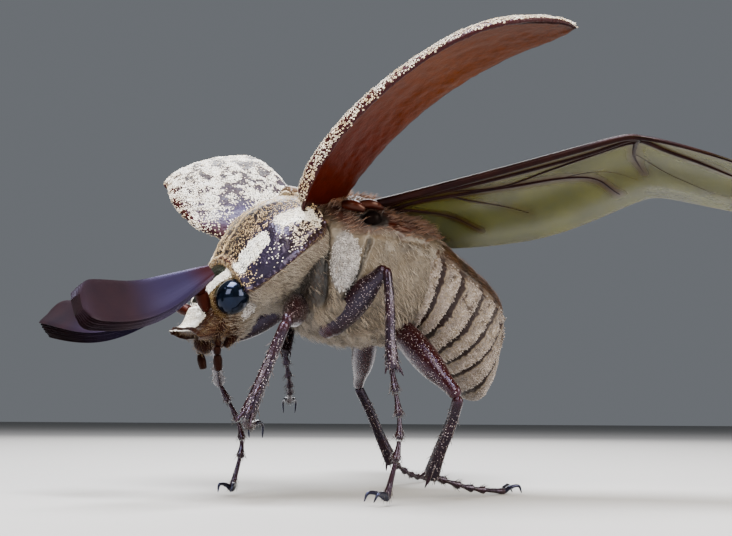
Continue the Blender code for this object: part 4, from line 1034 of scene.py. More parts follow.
# Abdomen: cream-grey pubescent rings with dark red-brown bands that slant forward underneath
abdomen = {
    "rows": 220, "columns": 220, "rise": 0.2, "tailRows": 20, "tailDome": 0.5, "draw": 0.92,
    "table": [
        (-18.6, 3.2, -9.6, -7.2, -14.9, 2.0, 2.0), (-18.0, 4.6, -8.9, -6.2, -15.4, 2.1, 2.0),
        (-16.9, 5.5, -8.2, -5.4, -15.0, 2.2, 2.1), (-15.0, 6.1, -7.2, -4.3, -13.9, 2.3, 2.2),
        (-12.8, 6.3, -6.0, -2.9, -12.3, 2.3, 2.2), (-10.6, 6.2, -5.0, -1.5, -10.9, 2.3, 2.2),
        (-9.0, 5.6, -4.8, -1.2, -10.2, 2.3, 2.2)],
    "slant": [(0.0, -18.6, -18.45), (0.12, -18.45, -16.4), (0.25, -17.9, -14.4), (0.42, -16.4, -13.25),
              (0.58, -14.75, -12.2), (0.74, -12.75, -10.75), (0.88, -10.9, -9.9), (1.0, -9.0, -9.0)],
    "edges": [0.0, 0.12, 0.25, 0.42, 0.58, 0.74, 0.88, 1.0],
}


def abdomenMaterial():
    # Ringed soft abdomen: waxy pale bloom on the plates, bare red-brown cuticle between them
    material, tree, shader, spot = newMaterial("abdomenCuticle", {
        "Roughness": 0.42, "Specular IOR Level": 0.25, "Coat Weight": 0.05})
    mottle = add(tree, "ShaderNodeTexNoise", {"Scale": 1.0 / 0.9, "Detail": 5.0, "Roughness": 0.65},
                 {"Vector": spot})
    pale = add(tree, "ShaderNodeValToRGB", {"stops": [(0.3, "#5c5247"), (0.7, "#857969")]}, {"Fac": mottle})
    tone = overlay(tree, pale, [("band", "#180503")])
    leather = add(tree, "ShaderNodeValToRGB", {"stops": [(0.35, "#100803"), (0.65, "#35210d")]},
                  {"Fac": mottle})
    rust = add(tree, "ShaderNodeAttribute", {"attribute_name": "rust"}).outputs["Fac"]
    tone = add(tree, "ShaderNodeMixRGB", links={"Fac": rust, "Color1": tone, "Color2": leather})
    tree.links.new(tone.outputs[0], shader.inputs["Base Color"])
    pits = add(tree, "ShaderNodeTexVoronoi", {"Scale": 1.0 / 0.22, "Randomness": 0.85}, {"Vector": spot})
    bump = add(tree, "ShaderNodeBump", {"Strength": 1.0, "Distance": 0.04 * mm}, {"Height": pits})
    tree.links.new(bump.outputs[0], shader.inputs["Normal"])
    return material


def makeAbdomen():
    tailRows, columns = abdomen["tailRows"], abdomen["columns"]
    rows = abdomen["rows"] + tailRows
    across = np.ones((1, columns))
    s = np.concatenate([np.zeros(tailRows), np.linspace(0.0, 1.0, abdomen["rows"])])[:, None] * across
    out = np.concatenate([np.linspace(0.04, 0.98, tailRows), np.ones(abdomen["rows"])])[:, None] * across
    angle = np.linspace(0, 2 * math.pi, columns, endpoint=False)[None, :] * np.ones((rows, 1))
    slant = np.array(abdomen["slant"])
    under = np.clip(-np.sin(angle), 0.0, 1.0)
    x = through(s, slant[:, 0], slant[:, 1]) * (1.0 - under) + through(s, slant[:, 0], slant[:, 2]) * under
    edges = np.array(abdomen["edges"])
    k = np.clip(np.searchsorted(edges, s, side="right") - 1, 0, len(edges) - 2)
    part = (s - edges[k]) / (edges[k + 1] - edges[k])               # 0 at a ring's hind edge, 1 at its front
    swell = abdomen["rise"] * (step(part, 0.0, 0.06) * (1.0 - part) - 0.4)
    local = sectionPoints(abdomen["table"], x, angle)
    local[..., 0] = (local[..., 0] + 9.0) * abdomen["draw"] - 9.0    # drawn in a little behind the hind legs
    top = step(np.sin(angle), 0.02, 0.22)
    swell = swell * (1.0 - 0.4 * top)
    swell = swell - 0.16 * bell(np.sin(angle), 0.1, 0.05) + 0.1 * bell(np.sin(angle), 0.0, 0.05)
    swell = swell + 0.035 * grain(local, 1.0, 3.0) * (1.0 - top)
    tail = local[tailRows].mean(axis=0)
    local[tailRows:] += gridNormals(local[tailRows:]) * swell[tailRows:, :, None]
    rim = local[tailRows]
    for row in range(tailRows):
        dome = abdomen["tailDome"] * (1.0 - out[row, 0] ** 2) ** 0.8
        local[row] = tail + (rim - tail) * out[row, 0] - (dome, 0.0, 0.0)
    points = placed(bodyFrame, local)
    skin = gridObject("abdomen", points, abdomenMaterial())
    ragged = 0.07 * grain(local, 0.5, 5.5)
    band = np.maximum(step(part + ragged, 0.68, 0.76), 1.0 - step(part - 0.3 * ragged, 0.0, 0.05))
    spots = step(grain(local, 0.6, 8.0), 0.25, 0.5) * bell(np.sin(angle), -0.12, 0.2)   # dark, on the flank
    band = np.maximum(band, spots) * (1.0 - step(s, 0.9, 0.96))
    band = np.where(out < 1.0, step(out, 0.8, 0.95), band)
    rust = np.clip(top * (1.0 - 0.7 * (1.0 - step(s, 0.1, 0.2))), 0.0, 1.0) * (out >= 1.0)
    paint(skin, "band", np.clip(band, 0, 1))
    paint(skin, "rust", rust)
    keep(skin, "scaled", "abdomen", "pygidium")
    rough = grain(local, 0.7, 1.0)
    cover = np.clip((0.9 - 0.4 * step(rough, 0.2, 0.9)) * (1.0 - band) * (1.0 - 1.1 * rust), 0.0, 1.0)
    nap = heading(bodyFrame, -0.9, 0.1 * np.sign(local[..., 1]), -0.35 - 0.3 * np.abs(np.cos(angle)))
    tone = np.clip(0.55 + 0.4 * rough - 0.5 * step(part, 0.35, 0.7), 0, 1)
    growCoat("bellyPile", [(skin, cover, nap, 1.0, tone)], flake, pileHair,
             {"seed": 41, "spacing": 0.088, "length": (0.15, 0.25), "stand": 0.03, "scatter": 0.16})
    hem = np.clip(bell(part, 0.03, 0.05) * (1.0 - top) * step(s, 0.1, 0.2), 0, 1) * (out >= 1.0)
    growCoat("ringFringe", [(skin, hem, nap, 1.0, 0.8)], hair, greyHair,
             {"seed": 42, "spacing": 0.22, "length": (0.25, 0.4), "stand": 0.1, "scatter": 0.25})
    edge = np.clip(bell(np.sin(angle), 0.16, 0.14) * step(s, 0.1, 0.3) + 0.7 * top, 0, 1) * (out >= 1.0)
    growCoat("rimHair", [(skin, edge, nap, 1.0, 0.3)], lash, orangeHair,
             {"seed": 43, "spacing": 0.15, "length": (0.25, 0.45), "stand": 0.1, "scatter": 0.3})


# Shells: wing cases and the scutellum are closed plates with rounded rims

def shellPoints(surface, us, vs, thickness, power):
    # for each u a closed ring: the upper face from v 0 to 1, then the lower one back
    sheet = np.array([[surface(u, v) for v in vs] for u in us])
    normals = unit(np.cross(np.gradient(sheet, axis=0), np.gradient(sheet, axis=1)))
    edge = np.sqrt(np.clip(1.0 - np.abs(2.0 * np.asarray(vs) - 1.0) ** power, 0.0, 1.0)) * 0.96 + 0.04
    ends = np.sqrt(np.clip(1.0 - np.abs(2.0 * np.asarray(us) - 1.0) ** (power * 4.0), 0.0, 1.0)) * 0.96 + 0.04
    half = thickness / 2.0 * edge[None, :] * ends[:, None]
    upper = sheet + normals * half[..., None]
    lower = sheet - normals * half[..., None]
    return np.concatenate([upper, lower[:, ::-1]], axis=1)


elytra = {
    "hinge": {1: (-0.8, 3.9, -1.0), -1: (-0.8, 4.7, -2.3)},
    "spread": {1: (45.7, 34.7, 9.9), -1: (94.8, 22.3, -12.0)},
    "length": 23.6, "width": 8.8, "thickness": 0.5, "bend": 53.0, "wrap": 43.0, "inner": 3.6,
    "tip": 0.66, "corner": 0.86, "steps": 10, "plain": 70, "curved": 40, "columns": 64,
    # the outer side's bulge: its size, start, end and loss, and how much of it narrows the root
    "bulge": {1: (1.1, 0.05, 0.15, 0.6, 0.55, 0.2), -1: (2.1, 0.2, 0.3, 0.75, 0.9, 0.3)},
    "callus": (0.13, 0.06, 0.62, 0.2),   # place and half size along and across
    "edgeWhite": {1: 0.75, -1: 0.2},     # how far the bare marbling fades towards the outer edge
}


def elytronSurface(u, v, side):
    count = elytra["steps"]
    steps = (np.arange(count) + 0.5) / count
    size, start, first, last, loss, narrow = elytra["bulge"][side]
    pitch = math.radians(elytra["bend"]) * (0.5 - steps * u)
    slope = math.radians(elytra["wrap"]) * (steps * v) ** 2
    belly = 0.74 + 0.26 * math.sin(math.pi * (0.14 + 0.66 * u))
    shoulder = 1.0 - narrow * (1.0 - u) ** 12
    beyond = max(0.0, (u - elytra["tip"]) / (1.0 - elytra["tip"]))
    width = elytra["width"] * belly * shoulder * math.sqrt(max(0.0, 1.0 - beyond ** 2.1))
    corner = 0.8 * max(0.0, (u - elytra["corner"]) / (1.0 - elytra["corner"])) ** 2.5
    width = max(0.05, width - corner)
    out = max(0.0, (v - 0.5) / 0.5)
    fade = (1.0 - loss * step(u, first, last)) * step(u, 0.0, start) * (1.0 - step(u, 0.8, 1.0))
    roll = size * fade * 1.8 * out ** 1.5 * (1.0 - out ** 6)         # the outer side bulges past its rim
    x = elytra["length"] * np.cos(pitch).sum() * u / count
    z = elytra["length"] * np.sin(pitch).sum() * u / count - width * np.sin(slope).sum() * v / count
    return np.array([x, corner - elytra["inner"] + width * np.cos(slope).sum() * v / count + roll, z])


def tipColumns(start, plain, curved, angle):   # even at first, and closer towards the tip
    even = np.linspace(0.0, start, plain, endpoint=False)
    angles = np.linspace(0.0, math.radians(angle), curved)
    return np.concatenate([even, start + (1.0 - start) * np.sin(angles)])


def caseMaterial():
    # Inside of a wing case: thin tanned cuticle, wet gloss, dark red at the hinge to orange-brown
    material, tree, shader, spot = newMaterial("caseLining", {
        "Roughness": 0.42, "Specular IOR Level": 0.07, "Specular Tint": colour("#c8763c")})
    along = add(tree, "ShaderNodeAttribute", {"attribute_name": "along"}).outputs["Fac"]
    base = add(tree, "ShaderNodeValToRGB", {
        "stops": [(0.0, "#2a0300"), (0.28, "#421000"), (0.6, "#572600"), (1.0, "#4a1e00")]}, {"Fac": along})
    mottle = add(tree, "ShaderNodeTexNoise", {"Scale": 1.0 / 0.5, "Detail": 5.0, "Roughness": 0.7},
                 {"Vector": spot})
    dusty = add(tree, "ShaderNodeValToRGB", {"stops": [(0.3, "#7a6458"), (0.7, "#ffffff")]}, {"Fac": mottle})
    tone = add(tree, "ShaderNodeMixRGB", {"blend_type": "MULTIPLY", "Fac": 0.5},
               {"Color1": base, "Color2": dusty})
    tone = overlay(tree, tone, [("rim", "#16070a")])
    tree.links.new(tone.outputs[0], shader.inputs["Base Color"])
    fine = add(tree, "ShaderNodeTexNoise", {"Scale": 1.0 / 0.3, "Detail": 4.0, "Roughness": 0.55},
               {"Vector": spot})
    bump = add(tree, "ShaderNodeBump", {"Strength": 1.0, "Distance": 0.03 * mm}, {"Height": fine})
    tree.links.new(bump.outputs[0], shader.inputs["Normal"])
    return material


def caseCover(side, lengthwise, ring, u, v, above, callus):   # where the marbled scales are, and how white
    flow = np.stack([lengthwise * 0.45, ring[..., 1], ring[..., 2] * 0.6], -1)
    marble = grain(flow, 0.7, 12.0 + 3 * side, 3) + 0.3 * grain(flow, 0.25, 4.0, 1)
    bare = step(-marble, -0.04, 0.1) * (1.0 - elytra["edgeWhite"][side] * step(v, 0.62, 0.8))
    cover = (1.0 - bare) * (0.95 - 0.3 * step(v, 0.85, 0.97)) + 0.04
    blot = np.hypot((u - 0.11) / 0.07, (v - 0.38) / 0.2) + 0.25 * marble
    cover = np.maximum(cover, 0.95 * (1.0 - step(blot, 0.8, 1.1)))
    cover *= (1.0 - 0.92 * callus) * above * step(v, 0.012, 0.03) * (1.0 - step(v, 0.97, 0.99))
    white = np.clip(0.75 + 0.3 * marble - 0.3 * step(v, 0.8, 0.95), 0, 1)
    return np.clip(cover, 0, 1), white


def makeElytra():
    lining = caseMaterial()
    horn = hornMaterial("caseHorn", "#0e0705", "#20120b", rough=0.42, coat=0.12, pitSize=0.3,
                        pitDepth=0.04, tint="#a89cc0", red="#300b04", bloom="#1e1630", gloss=0.26)
    us = tipColumns(elytra["tip"], elytra["plain"], elytra["curved"], 88.0)
    n = elytra["columns"]
    vs = (1.0 - np.cos(np.linspace(0.0, math.pi, n))) / 2.0
    rows = np.ones((len(us), 1))
    u = us[:, None] * np.ones((1, 2 * n))
    v = np.concatenate([vs, vs[::-1]])[None, :] * rows
    above = np.concatenate([np.ones(n), np.zeros(n)])[None, :] * rows
    centre, half, across, wide = elytra["callus"]
    knob = np.hypot((u - centre) / half, (v - across) / wide)
    coats = []
    for side, label in bothSides:
        place = wingFrame(elytra["hinge"][side], side, *elytra["spread"][side])
        ring = shellPoints(lambda a, b: elytronSurface(a, b, side), us, vs, elytra["thickness"], power=6.0)
        lengthwise = ring[..., 0]
        push = 0.035 * grain(ring, 0.9, 6.0 + side)
        push += above * (0.1 * bell(v, 0.03, 0.03) + 0.28 * bell(knob, 0.0, 0.8))
        push += above * 0.05 * (bell(v, 0.34, 0.05) + bell(v, 0.58, 0.05)) * step(u, 0.1, 0.2)
        push += 0.12 * bell(v, 0.985, 0.02)
        around = np.roll(ring, -1, 1) - np.roll(ring, 1, 1)
        normals = unit(np.cross(np.gradient(ring, axis=0), around))
        upward = np.sign(normals[40, 10, 2])                         # a point well inside the upper face
        ring = ring + normals * upward * push[..., None]
        shell = gridObject("elytron_" + label, placed(place, ring), horn, smooth=70.0)
        shell.data.materials.append(lining)
        flags = np.zeros(len(shell.data.polygons), np.int32)
        column = np.array([p.vertices[0] % (2 * n) for p in shell.data.polygons])
        flags[(column >= n) & (column < 2 * n - 1)] = 1              # the inner face wears the lining
        shell.data.polygons.foreach_set("material_index", flags)
        rim = bell(v, 1.0, 0.035) + bell(v, 0.0, 0.02) + bell(u, 0.0, 0.02) + 0.8 * bell(u, 1.0, 0.02)
        corner = bell(np.hypot((u - 0.09) / 0.05, (v - 0.8) / 0.12), 0, 1)
        callus = bell(knob, 0.0, 1.0)
        paint(shell, "along", u)
        paint(shell, "rim", np.clip(rim, 0, 1))
        paint(shell, "red", 0.7 * np.clip(step(v, 0.78, 0.95) + 0.9 * corner, 0, 1))
        # painted sheen: violet on the shoulder callus
        paint(shell, "bloom", callus * above)
        keep(shell, "case", "elytron_" + label)
        cover, white = caseCover(side, lengthwise, ring, u, v, above, callus)
        coats.append((label, shell, cover, turned(place, (1.0, 0.12, 0.0)), white))
    for label, shell, cover, nap, white in coats:
        growCoat("caseScales_" + label, [(shell, cover, nap, 0.9, white)], flake, whiteScales,
                 {"seed": 51, "spacing": 0.085, "length": (0.15, 0.25), "stand": 0.2, "scatter": 0.3})


def scutellumSurface(u, v):
    half = 1.35 * (1.0 - u ** 2.2) ** 0.8 + 0.12
    y = half * (2.0 * v - 1.0)
    return np.array([-0.1 - 3.2 * u, y, 0.45 - 0.12 * y * y - 0.25 * u + 0.12 * (1.0 - (y / half) ** 2)])


def makeScutellum():
    horn = hornMaterial("scutellumHorn", "#2b1a12", "#574028", rough=0.45, coat=0.2, pitSize=0.3,
                        pitDepth=0.03)
    rows, columns = 40, 30
    us = (1.0 - np.cos(np.linspace(0.0, math.pi, rows))) / 2.0
    vs = (1.0 - np.cos(np.linspace(0.0, math.pi, columns))) / 2.0
    ring = shellPoints(scutellumSurface, us, vs, thickness=0.6, power=6.0)
    plate = gridObject("scutellum", placed(bodyFrame, ring), horn, smooth=70.0)
    keep(plate, "scaled", "scutellum")
    above = np.concatenate([np.ones(columns), np.zeros(columns)])[None, :] * np.ones((rows, 1))
    backward = turned(bodyFrame, (-1.0, 0.0, 0.0))
    growCoat("scutellumScales", [(plate, above, backward, 1.0, 0.35)], flake, whiteScales,
             {"seed": 61, "spacing": 0.07, "length": (0.16, 0.24), "stand": 0.15, "scatter": 0.2})


# Hind wings: smoky olive membrane, folded past the joint, with raised brown veins
wings = {
    "hinge": (-5.3, 5.0, -1.9), "spread": {1: (42.0, 17.5, 14.0), -1: (68.0, 5.0, 8.0)},
    "length": 31.5, "chord": 11.5, "foldAt": 0.63, "foldSoft": 0.03, "foldDrop": 0.66, "foldSweep": 10.0,
    "tip": 0.74, "thickness": 0.09, "rootLift": 1.3, "droop": 1.2, "plain": 90, "curved": 36, "columns": 70,
    "veins": [   # (u, v) along each vein, with its radius at the start and the end
        ([(0.0, 0.04), (0.2, 0.012), (0.45, 0.012), (0.6, 0.02), (0.645, 0.03)], 0.34, 0.2),
        ([(0.0, 0.3), (0.075, 0.09), (0.2, 0.1), (0.4, 0.12), (0.55, 0.12), (0.64, 0.06)], 0.26, 0.17),
        ([(0.19, 0.13), (0.305, 0.24), (0.44, 0.19), (0.56, 0.15), (0.63, 0.12)], 0.1, 0.16),
        ([(0.645, 0.03), (0.63, 0.16), (0.62, 0.34), (0.63, 0.55)], 0.22, 0.05),
        ([(0.0, 0.3), (0.1, 0.18), (0.22, 0.21), (0.34, 0.27), (0.45, 0.34), (0.52, 0.48), (0.56, 0.72)],
         0.25, 0.08),
        ([(0.19, 0.21), (0.24, 0.36), (0.29, 0.5), (0.34, 0.62)], 0.13, 0.05),
        ([(0.0, 0.36), (0.06, 0.27), (0.12, 0.38), (0.17, 0.55), (0.21, 0.72)], 0.22, 0.06),
        ([(0.0, 0.45), (0.05, 0.5), (0.09, 0.66), (0.12, 0.84)], 0.13, 0.05),
        ([(0.645, 0.03), (0.7, 0.012), (0.78, 0.02), (0.86, 0.06), (0.93, 0.14)], 0.18, 0.05),
        ([(0.645, 0.06), (0.69, 0.16), (0.75, 0.22), (0.82, 0.32), (0.9, 0.45)], 0.26, 0.07),
        ([(0.625, 0.3), (0.67, 0.5), (0.74, 0.62), (0.82, 0.75)], 0.07, 0.04),
        ([(0.42, 0.33), (0.5, 0.36), (0.56, 0.46), (0.61, 0.62)], 0.08, 0.04)],
}


def wingPoint(u, v):
    far = u - wings["foldAt"]
    beyond = (far + math.sqrt(far * far + wings["foldSoft"] ** 2)) / 2.0
    swell = max(0.0, math.sin(math.pi * min(1.0, 0.05 + 0.8 * max(u, 0.0) ** 0.75))) ** 0.6
    tip = math.sqrt(max(0.0, 1.0 - max(0.0, (u - wings["tip"]) / (1.0 - wings["tip"])) ** 2.2))
    whole = wings["chord"] * (0.12 + 0.88 * swell)
    chord = whole * (0.05 + 0.95 * tip)
    pleat = 0.12 * math.sin(14.0 * v + 2.0 * u) * math.sin(math.pi * v) * (1.0 - 0.5 * u)
    wave = 0.25 * math.sin(2.0 * math.pi * v) * math.sin(math.pi * u) + pleat
    lift = wings["rootLift"] * max(0.0, 1.0 - max(u, 0.0) / 0.6) ** 1.5
    lift = lift - wings["droop"] * v * v * (1.0 - step(u, 0.3, 0.7))
    y = -wings["foldSweep"] * beyond ** 1.2 - 0.3 * (whole - chord) - chord * v
    return np.array([wings["length"] * u, y, wave + lift - wings["foldDrop"] * beyond * wings["length"]])


def membraneMaterial():
    # Wing membrane: cellophane-thin cuticle, smoky olive, browner and less clear towards veins and fold
    material, tree, shader, spot = newMaterial("wingMembrane", {
        "Roughness": 0.34, "Specular IOR Level": 0.2, "Coat Weight": 0.05, "Coat Roughness": 0.12})
    mottle = add(tree, "ShaderNodeTexNoise", {"Scale": 1.0 / 3.0, "Detail": 4.0, "Roughness": 0.55},
                 {"Vector": spot})
    base = add(tree, "ShaderNodeValToRGB", {"stops": [(0.3, "#383904"), (0.7, "#56550a")]}, {"Fac": mottle})
    tone = overlay(tree, base, [("near", "#2c1707")])
    tree.links.new(tone.outputs[0], shader.inputs["Base Color"])
    near = add(tree, "ShaderNodeAttribute", {"attribute_name": "near"}).outputs["Fac"]
    solid = add(tree, "ShaderNodeMath", {"operation": "MULTIPLY_ADD", 1: 0.32, 2: 0.68}, {0: near})
    tree.links.new(solid.outputs[0], shader.inputs["Alpha"])
    ripple = add(tree, "ShaderNodeTexNoise", {"Scale": 1.0 / 0.8, "Detail": 3.0, "Roughness": 0.55},
                 {"Vector": spot})
    bump = add(tree, "ShaderNodeBump", {"Strength": 1.0, "Distance": 0.04 * mm}, {"Height": ripple})
    tree.links.new(bump.outputs[0], shader.inputs["Normal"])
    return material


def makeWings():
    membrane = membraneMaterial()
    horn = hornMaterial("wingVein", "#0c0404", "#200d07", rough=0.42, coat=0.06, pitSize=0.25,
                        pitDepth=0.01, tint="#a08090", gloss=0.16)
    us = tipColumns(wings["tip"], wings["plain"], wings["curved"], 86.0)
    vs = np.linspace(0.0, 1.0, wings["columns"])
    u = us[:, None] * np.ones((1, 2 * len(vs)))
    v = np.concatenate([vs, vs[::-1]])[None, :] * np.ones((len(us), 1))
    scale = np.array([wings["length"], 8.0])                         # mm along and, about, across
    ts = np.linspace(0.0, 1.0, 46)
    for side, label in bothSides:
        place = wingFrame(wings["hinge"], side, *wings["spread"][side])
        ring = shellPoints(wingPoint, us, vs, wings["thickness"], power=8.0)
        skin = gridObject("hindwing_" + label, placed(place, ring), membrane, smooth=80.0)
        near = np.zeros_like(u)
        veins = Bundle()
        for line, first, last in wings["veins"]:
            track = pathThrough([(a, b, 0.0) for a, b in line], ts)[:, :2]
            track[:, 1] = np.clip(track[:, 1], 0.008, 0.985)
            path = np.array([wingPoint(a, b) for a, b in track])
            radii = first + (last - first) * ts
            veins.add(*gridParts(placed(place, tubePoints(path, radii, sides=10, lean=(0.1, 0.2, 1.0)))))
            away = nearLine(u * scale[0], v * scale[1], (track[::3] * scale).tolist())
            near = np.maximum(near, bell(away, 0.0, 0.5) * min(1.0, first * 4.0))
        near = np.maximum(near, 0.9 * bell(v, 0.0, 0.09) * (1.0 - 0.6 * step(u, 0.63, 0.9)))
        near = np.maximum(near, 0.8 * (1.0 - step(u, 0.02, 0.14)))
        near = np.maximum(near, 0.35 * bell(v, 1.0, 0.02) + 0.5 * bell(u, 0.63, 0.02) * (1 - v))
        paint(skin, "near", np.clip(near, 0, 1))
        keep(skin, "membrane", "hindwing_" + label)
        keep(veins.finish("veins_" + label, horn), "membrane")


def alongLimb(piece, rings, sides):   # the place along a limb of each vertex, and how many vertices follow
    place = np.concatenate([np.repeat(np.linspace(0, 1, len(rings)), sides), [0, 1]])
    return place, len(piece.data.vertices) - len(place)


def makeThigh(leg, size, hip, knee, horn):
    inward = unit(hip - knee)
    path = [hip + inward * 0.6, (hip * 2 + knee) / 3, (hip + knee * 2) / 3, knee]
    radii = [radius * size for radius in legShape["thigh"]]
    rings = roundedTube(path, radii, count=40, sides=legShape["thighSides"], flat=0.75)
    coxa = roundedTube([hip + inward * 1.1, hip + inward * 0.2, hip - inward * 0.7], [0.6, 0.85, 0.6],
                       count=12, sides=24)
    femur = Bundle()
    femur.add(*gridParts(rings))
    femur.add(*gridParts(coxa))
    piece = femur.finish("femur_" + leg, horn)
    place, rest = alongLimb(piece, rings, legShape["thighSides"])
    warm = 0.45 if leg.startswith("hind") else 0.0                   # the hind thighs are redder
    red = warm + step(place, 0.92, 1.0) * 0.4 + 0.5 * (1 - step(place, 0.0, 0.15))
    paint(piece, "red", np.concatenate([red, 0.6 * np.ones(rest)]))
    keep(piece, "leg", "femur_" + leg)
    cover = step(place, 0.05, 0.2) * (1 - step(place, 0.9, 0.97))
    return piece, np.concatenate([cover, np.zeros(rest)]), unit(knee - hip)


def shinSpikes(leg, size, knee, ankle, toe):   # root, bend, tip and thickness of each
    reach = unit(ankle - knee)
    side = unit(np.cross(np.cross(ankle - toe, reach), -reach))

    def swing(angle):
        return np.array(Matrix.Rotation(angle, 3, Vector(reach)) @ Vector(side))
    spikes = []
    for degrees in (40.0, -40.0):
        way = swing(math.radians(degrees))
        root = ankle - reach * 0.6 + way * 0.2
        spikes.append((root, root + reach * 0.75 + way * 0.42, ankle + reach * 0.6 + way * 0.85, 0.17))
    if leg.startswith("fore"):
        for spot in (0.70, 0.90):
            root = knee + (ankle - knee) * spot + side * 0.1
            spikes.append((root, root + side * 0.55 + reach * 0.2, root + side * 0.95 + reach * 0.55, 0.28))
        return spikes
    for k in range(7):                                               # a ring of short spines at the ankle
        way = swing(k * 0.9)
        root = ankle + way * 0.45 * size
        spikes.append((root - reach * 0.1, root + reach * 0.15 + way * 0.05, root + reach * 0.4 + way * 0.12,
                       0.07))
    return spikes


def makeShin(leg, size, knee, ankle, toe, horn):
    reach = unit(ankle - knee)
    bulge = unit(np.cross(reach, (0.0, 0.0, 1.0))) * 0.12
    path = [knee - reach * 0.05, (knee * 2 + ankle) / 3 + bulge, (knee + ankle * 2) / 3, ankle + reach * 0.1]

    def ribs(angles, t):
        return 0.07 * np.cos(4.0 * angles) * step(t, 0.1, 0.3)
    radii = [radius * size for radius in legShape["shin"]]
    rings = roundedTube(path, radii, count=36, sides=legShape["shinSides"], flat=0.8, ridge=ribs,
                        ends=(1.0, 0.4))
    shin = Bundle()
    shin.add(*gridParts(rings))
    ts = np.linspace(0, 1, 10)
    for root, bend, tip, thick in shinSpikes(leg, size, knee, ankle, toe):
        taper = thick * np.linspace(1.0, 0.06, 10) ** 0.7
        shin.add(*gridParts(tubePoints(pathThrough([root, bend, tip], ts), taper, sides=10)))
    piece = shin.finish("tibia_" + leg, horn)
    place, rest = alongLimb(piece, rings, legShape["shinSides"])
    paint(piece, "red", np.concatenate([0.5 * (1 - step(place, 0.0, 0.12)), 0.15 * np.ones(rest)]))
    keep(piece, "leg", "tibia_" + leg)
    return piece, np.concatenate([step(place, 0.08, 0.2), np.zeros(rest)]), reach


def makeFoot(leg, track, horn):
    foot = Bundle()
    covers = []
    sides = legShape["footSides"]
    cuts = legShape["cuts"]
    for first, last in zip(cuts, cuts[1:]):
        widths = legShape["foot"] * np.array(legShape["lastJoint" if last == cuts[-1] else "joint"])
        ts = np.linspace(first, last - 0.012, len(widths))
        foot.add(*gridParts(tubePoints(pathThrough(track, ts), widths, sides)))
        covers += [0.0] * sides * 4 + [0.3] * sides * 2 + [1.0] * sides * 3 + [0.0, 0.0]   # thick at its end
    piece = foot.finish("tarsus_" + leg, horn, ground=0.0)
    paint(piece, "red", 0.1 * np.ones(len(piece.data.vertices)))
    keep(piece, "leg", "tarsus_" + leg)
    height = np.array([corner.co.z / mm for corner in piece.data.vertices])
    return piece, np.array(covers) * step(height, 0.45, 0.6), unit(track[-1] - track[0])


def makeClaws(leg, track, horn):   # two hooks, each with a tooth, flatter on a foot that stands
    end = pathThrough(track, np.array([0.97]))[0]
    ahead = unit(pathThrough(track, np.array([1.0]))[0] - pathThrough(track, np.array([0.9]))[0])
    level = np.array([ahead[0], ahead[1], 0.0])
    if np.linalg.norm(level) < 0.25:                                 # a foot that hangs straight down
        level = np.array([1.0, 0.3, 0.0])
    level = unit(level)
    across = np.array([-level[1], level[0], 0.0])
    drop, arch, bite = (0.05, 0.42, 0.15) if leg in legShape["standing"] else (0.9, 0.2, 0.3)
    size = legShape["claw"]
    ts = np.linspace(0.0, 1.0, 24)
    hooks = Bundle()
    for hand in (1.0, -1.0):
        root = end + across * hand * 0.07
        knuckle = end + level * size * 0.3 + across * hand * 0.34 + (0.0, 0.0, arch * 0.85)
        bend = end + level * size * 0.75 + across * hand * 0.55 + (0.0, 0.0, arch - drop * 0.35)
        tip = end + level * size + across * hand * 0.5 - np.array([0.0, 0.0, drop + 0.1])
        hook = pathThrough([root, knuckle, bend, tip], ts)
        hooks.add(*gridParts(tubePoints(hook, 0.2 * (1.02 - ts) ** 0.5, sides=12)))
        tooth = [knuckle, knuckle + level * 0.12 - (0, 0, 0.12), knuckle + level * 0.3 - (0, 0, bite)]
        tooth = pathThrough(tooth, np.linspace(0, 1, 6))
        hooks.add(*gridParts(tubePoints(tooth, 0.09 * np.linspace(1, 0.1, 6), sides=8)))
    keep(hooks.finish("claws_" + leg, horn, ground=0.0), "leg")


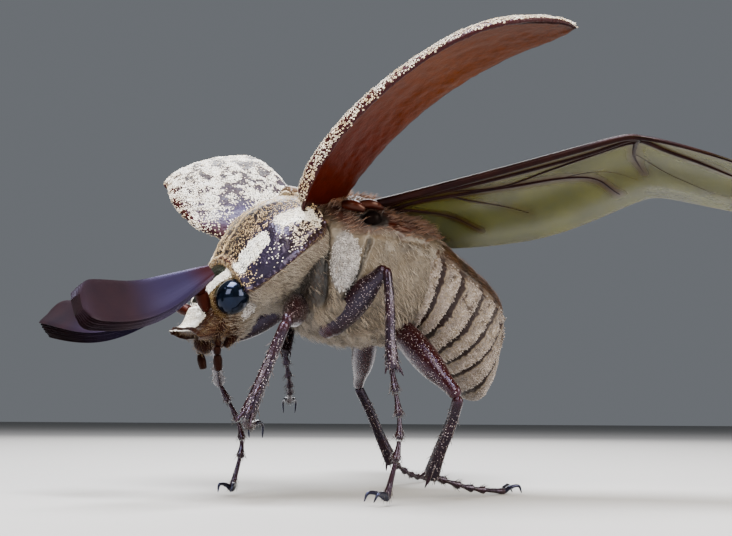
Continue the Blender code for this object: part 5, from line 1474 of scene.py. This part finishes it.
def makeLegs():
    horn = hornMaterial("legHorn", "#0d0708", "#1f0d0b", rough=0.26, coat=0.5, pitSize=0.2, pitDepth=0.03,
                        tint="#bdb4ee", red="#2e0a05")
    clawHorn = hornMaterial("clawHorn", "#07060a", "#110d12", rough=0.18, coat=0.6, pitSize=0.4,
                            pitDepth=0.004, tint="#8fa4ff")
    thighs, shins, feet = [], [], []
    for leg in legs:
        size = legShape["size"][leg.split("_")[0]]
        hip, knee, ankle, toe = legPoints(leg)
        track = [ankle, (ankle + toe) / 2.0 + legShape["sag"][leg], toe]
        thighs.append(makeThigh(leg, size, hip, knee, horn))
        shins.append(makeShin(leg, size, knee, ankle, toe, horn))
        feet.append(makeFoot(leg, track, horn))
        makeClaws(leg, track, clawHorn)
    flecked = []
    for piece, cover, way in thighs + shins:
        # fewer flecks on the right legs: painted shade on the far side
        share = legShape["flecks"]["left" if "left" in piece.name else "right"]
        flecked.append((piece, cover * share, way, 1.0, 0.7))
    growCoat("legFlecks", flecked, flake, fleckScales,
             {"seed": 71, "spacing": 0.1, "length": (0.07, 0.14), "stand": 0.2, "scatter": 0.4,
              "density": 60.0})
    growCoat("legBristles", [(piece, cover, way, 1.0, 0.4) for piece, cover, way in shins], bristle,
             darkBristle, {"seed": 72, "spacing": 0.5, "length": (0.35, 0.7), "stand": 0.55, "scatter": 0.2})
    growCoat("footBristles", [(piece, cover, way, 1.0, 0.2) for piece, cover, way in feet], bristle,
             darkBristle, {"seed": 73, "spacing": 0.16, "length": (0.3, 0.55), "stand": 0.45,
                           "scatter": 0.15})


makePronotum()
print("pronotum done")
makeHead()
makeEyes()
makeFeelers()
makeMouth()
print("head done")
makeThorax()
print("thorax done")
makeAbdomen()
print("abdomen done")
makeElytra()
makeScutellum()
print("wing cases done")
makeWings()
print("wings done")
makeLegs()
print("legs done")

# The tufts were only patterns for the coats
for tuft in (flake, broadFlake, hair, lash, bristle):
    bpy.data.objects.remove(tuft, do_unlink=True)


# Studio: pale floor, soft daylight from above and the front left
studio = {
    "floor": "#969490", "room": "#d6dde6", "roomStrength": 0.22, "aim": (0.0, 0.0, 0.018),
    "lamps": [   # place, size, power and colour
        ((0.06, 0.05, 0.28), 0.16, 4.6, "#f2f5ff"), ((0.16, 0.16, 0.14), 0.12, 0.8, "#fff2e0"),
        ((-0.14, 0.16, 0.08), 0.12, 0.9, "#fff2e0"), ((-0.08, -0.2, 0.16), 0.16, 0.9, "#ffffff")],
}


def makeStudio():
    below = (0.0, 0.0, -0.00002)   # clear of the feet, so that the two don't flicker
    bpy.ops.mesh.primitive_grid_add(x_subdivisions=4, y_subdivisions=4, size=6.0, location=below)
    floor = bpy.context.object
    floor.name = "floor"
    paper = newMaterial("floorPaper", {"Roughness": 0.8, "Base Color": colour(studio["floor"])})[0]
    floor.data.materials.append(paper)
    world = bpy.data.worlds.new("room")
    world.use_nodes = True
    world.node_tree.nodes["Background"].inputs["Color"].default_value = colour(studio["room"])
    world.node_tree.nodes["Background"].inputs["Strength"].default_value = studio["roomStrength"]
    bpy.context.scene.world = world
    for place, size, power, shade in studio["lamps"]:
        lamp = bpy.data.lights.new("softbox", "AREA")
        lamp.size = size
        lamp.energy = power
        lamp.color = colour(shade)[:3]
        holder = bpy.data.objects.new("softbox", lamp)
        bpy.context.scene.collection.objects.link(holder)
        holder.location = place
        holder.rotation_mode = "QUATERNION"
        holder.rotation_quaternion = (Vector(place) - Vector(studio["aim"])).to_track_quat("Z", "Y")


makeStudio()
print("studio lit")
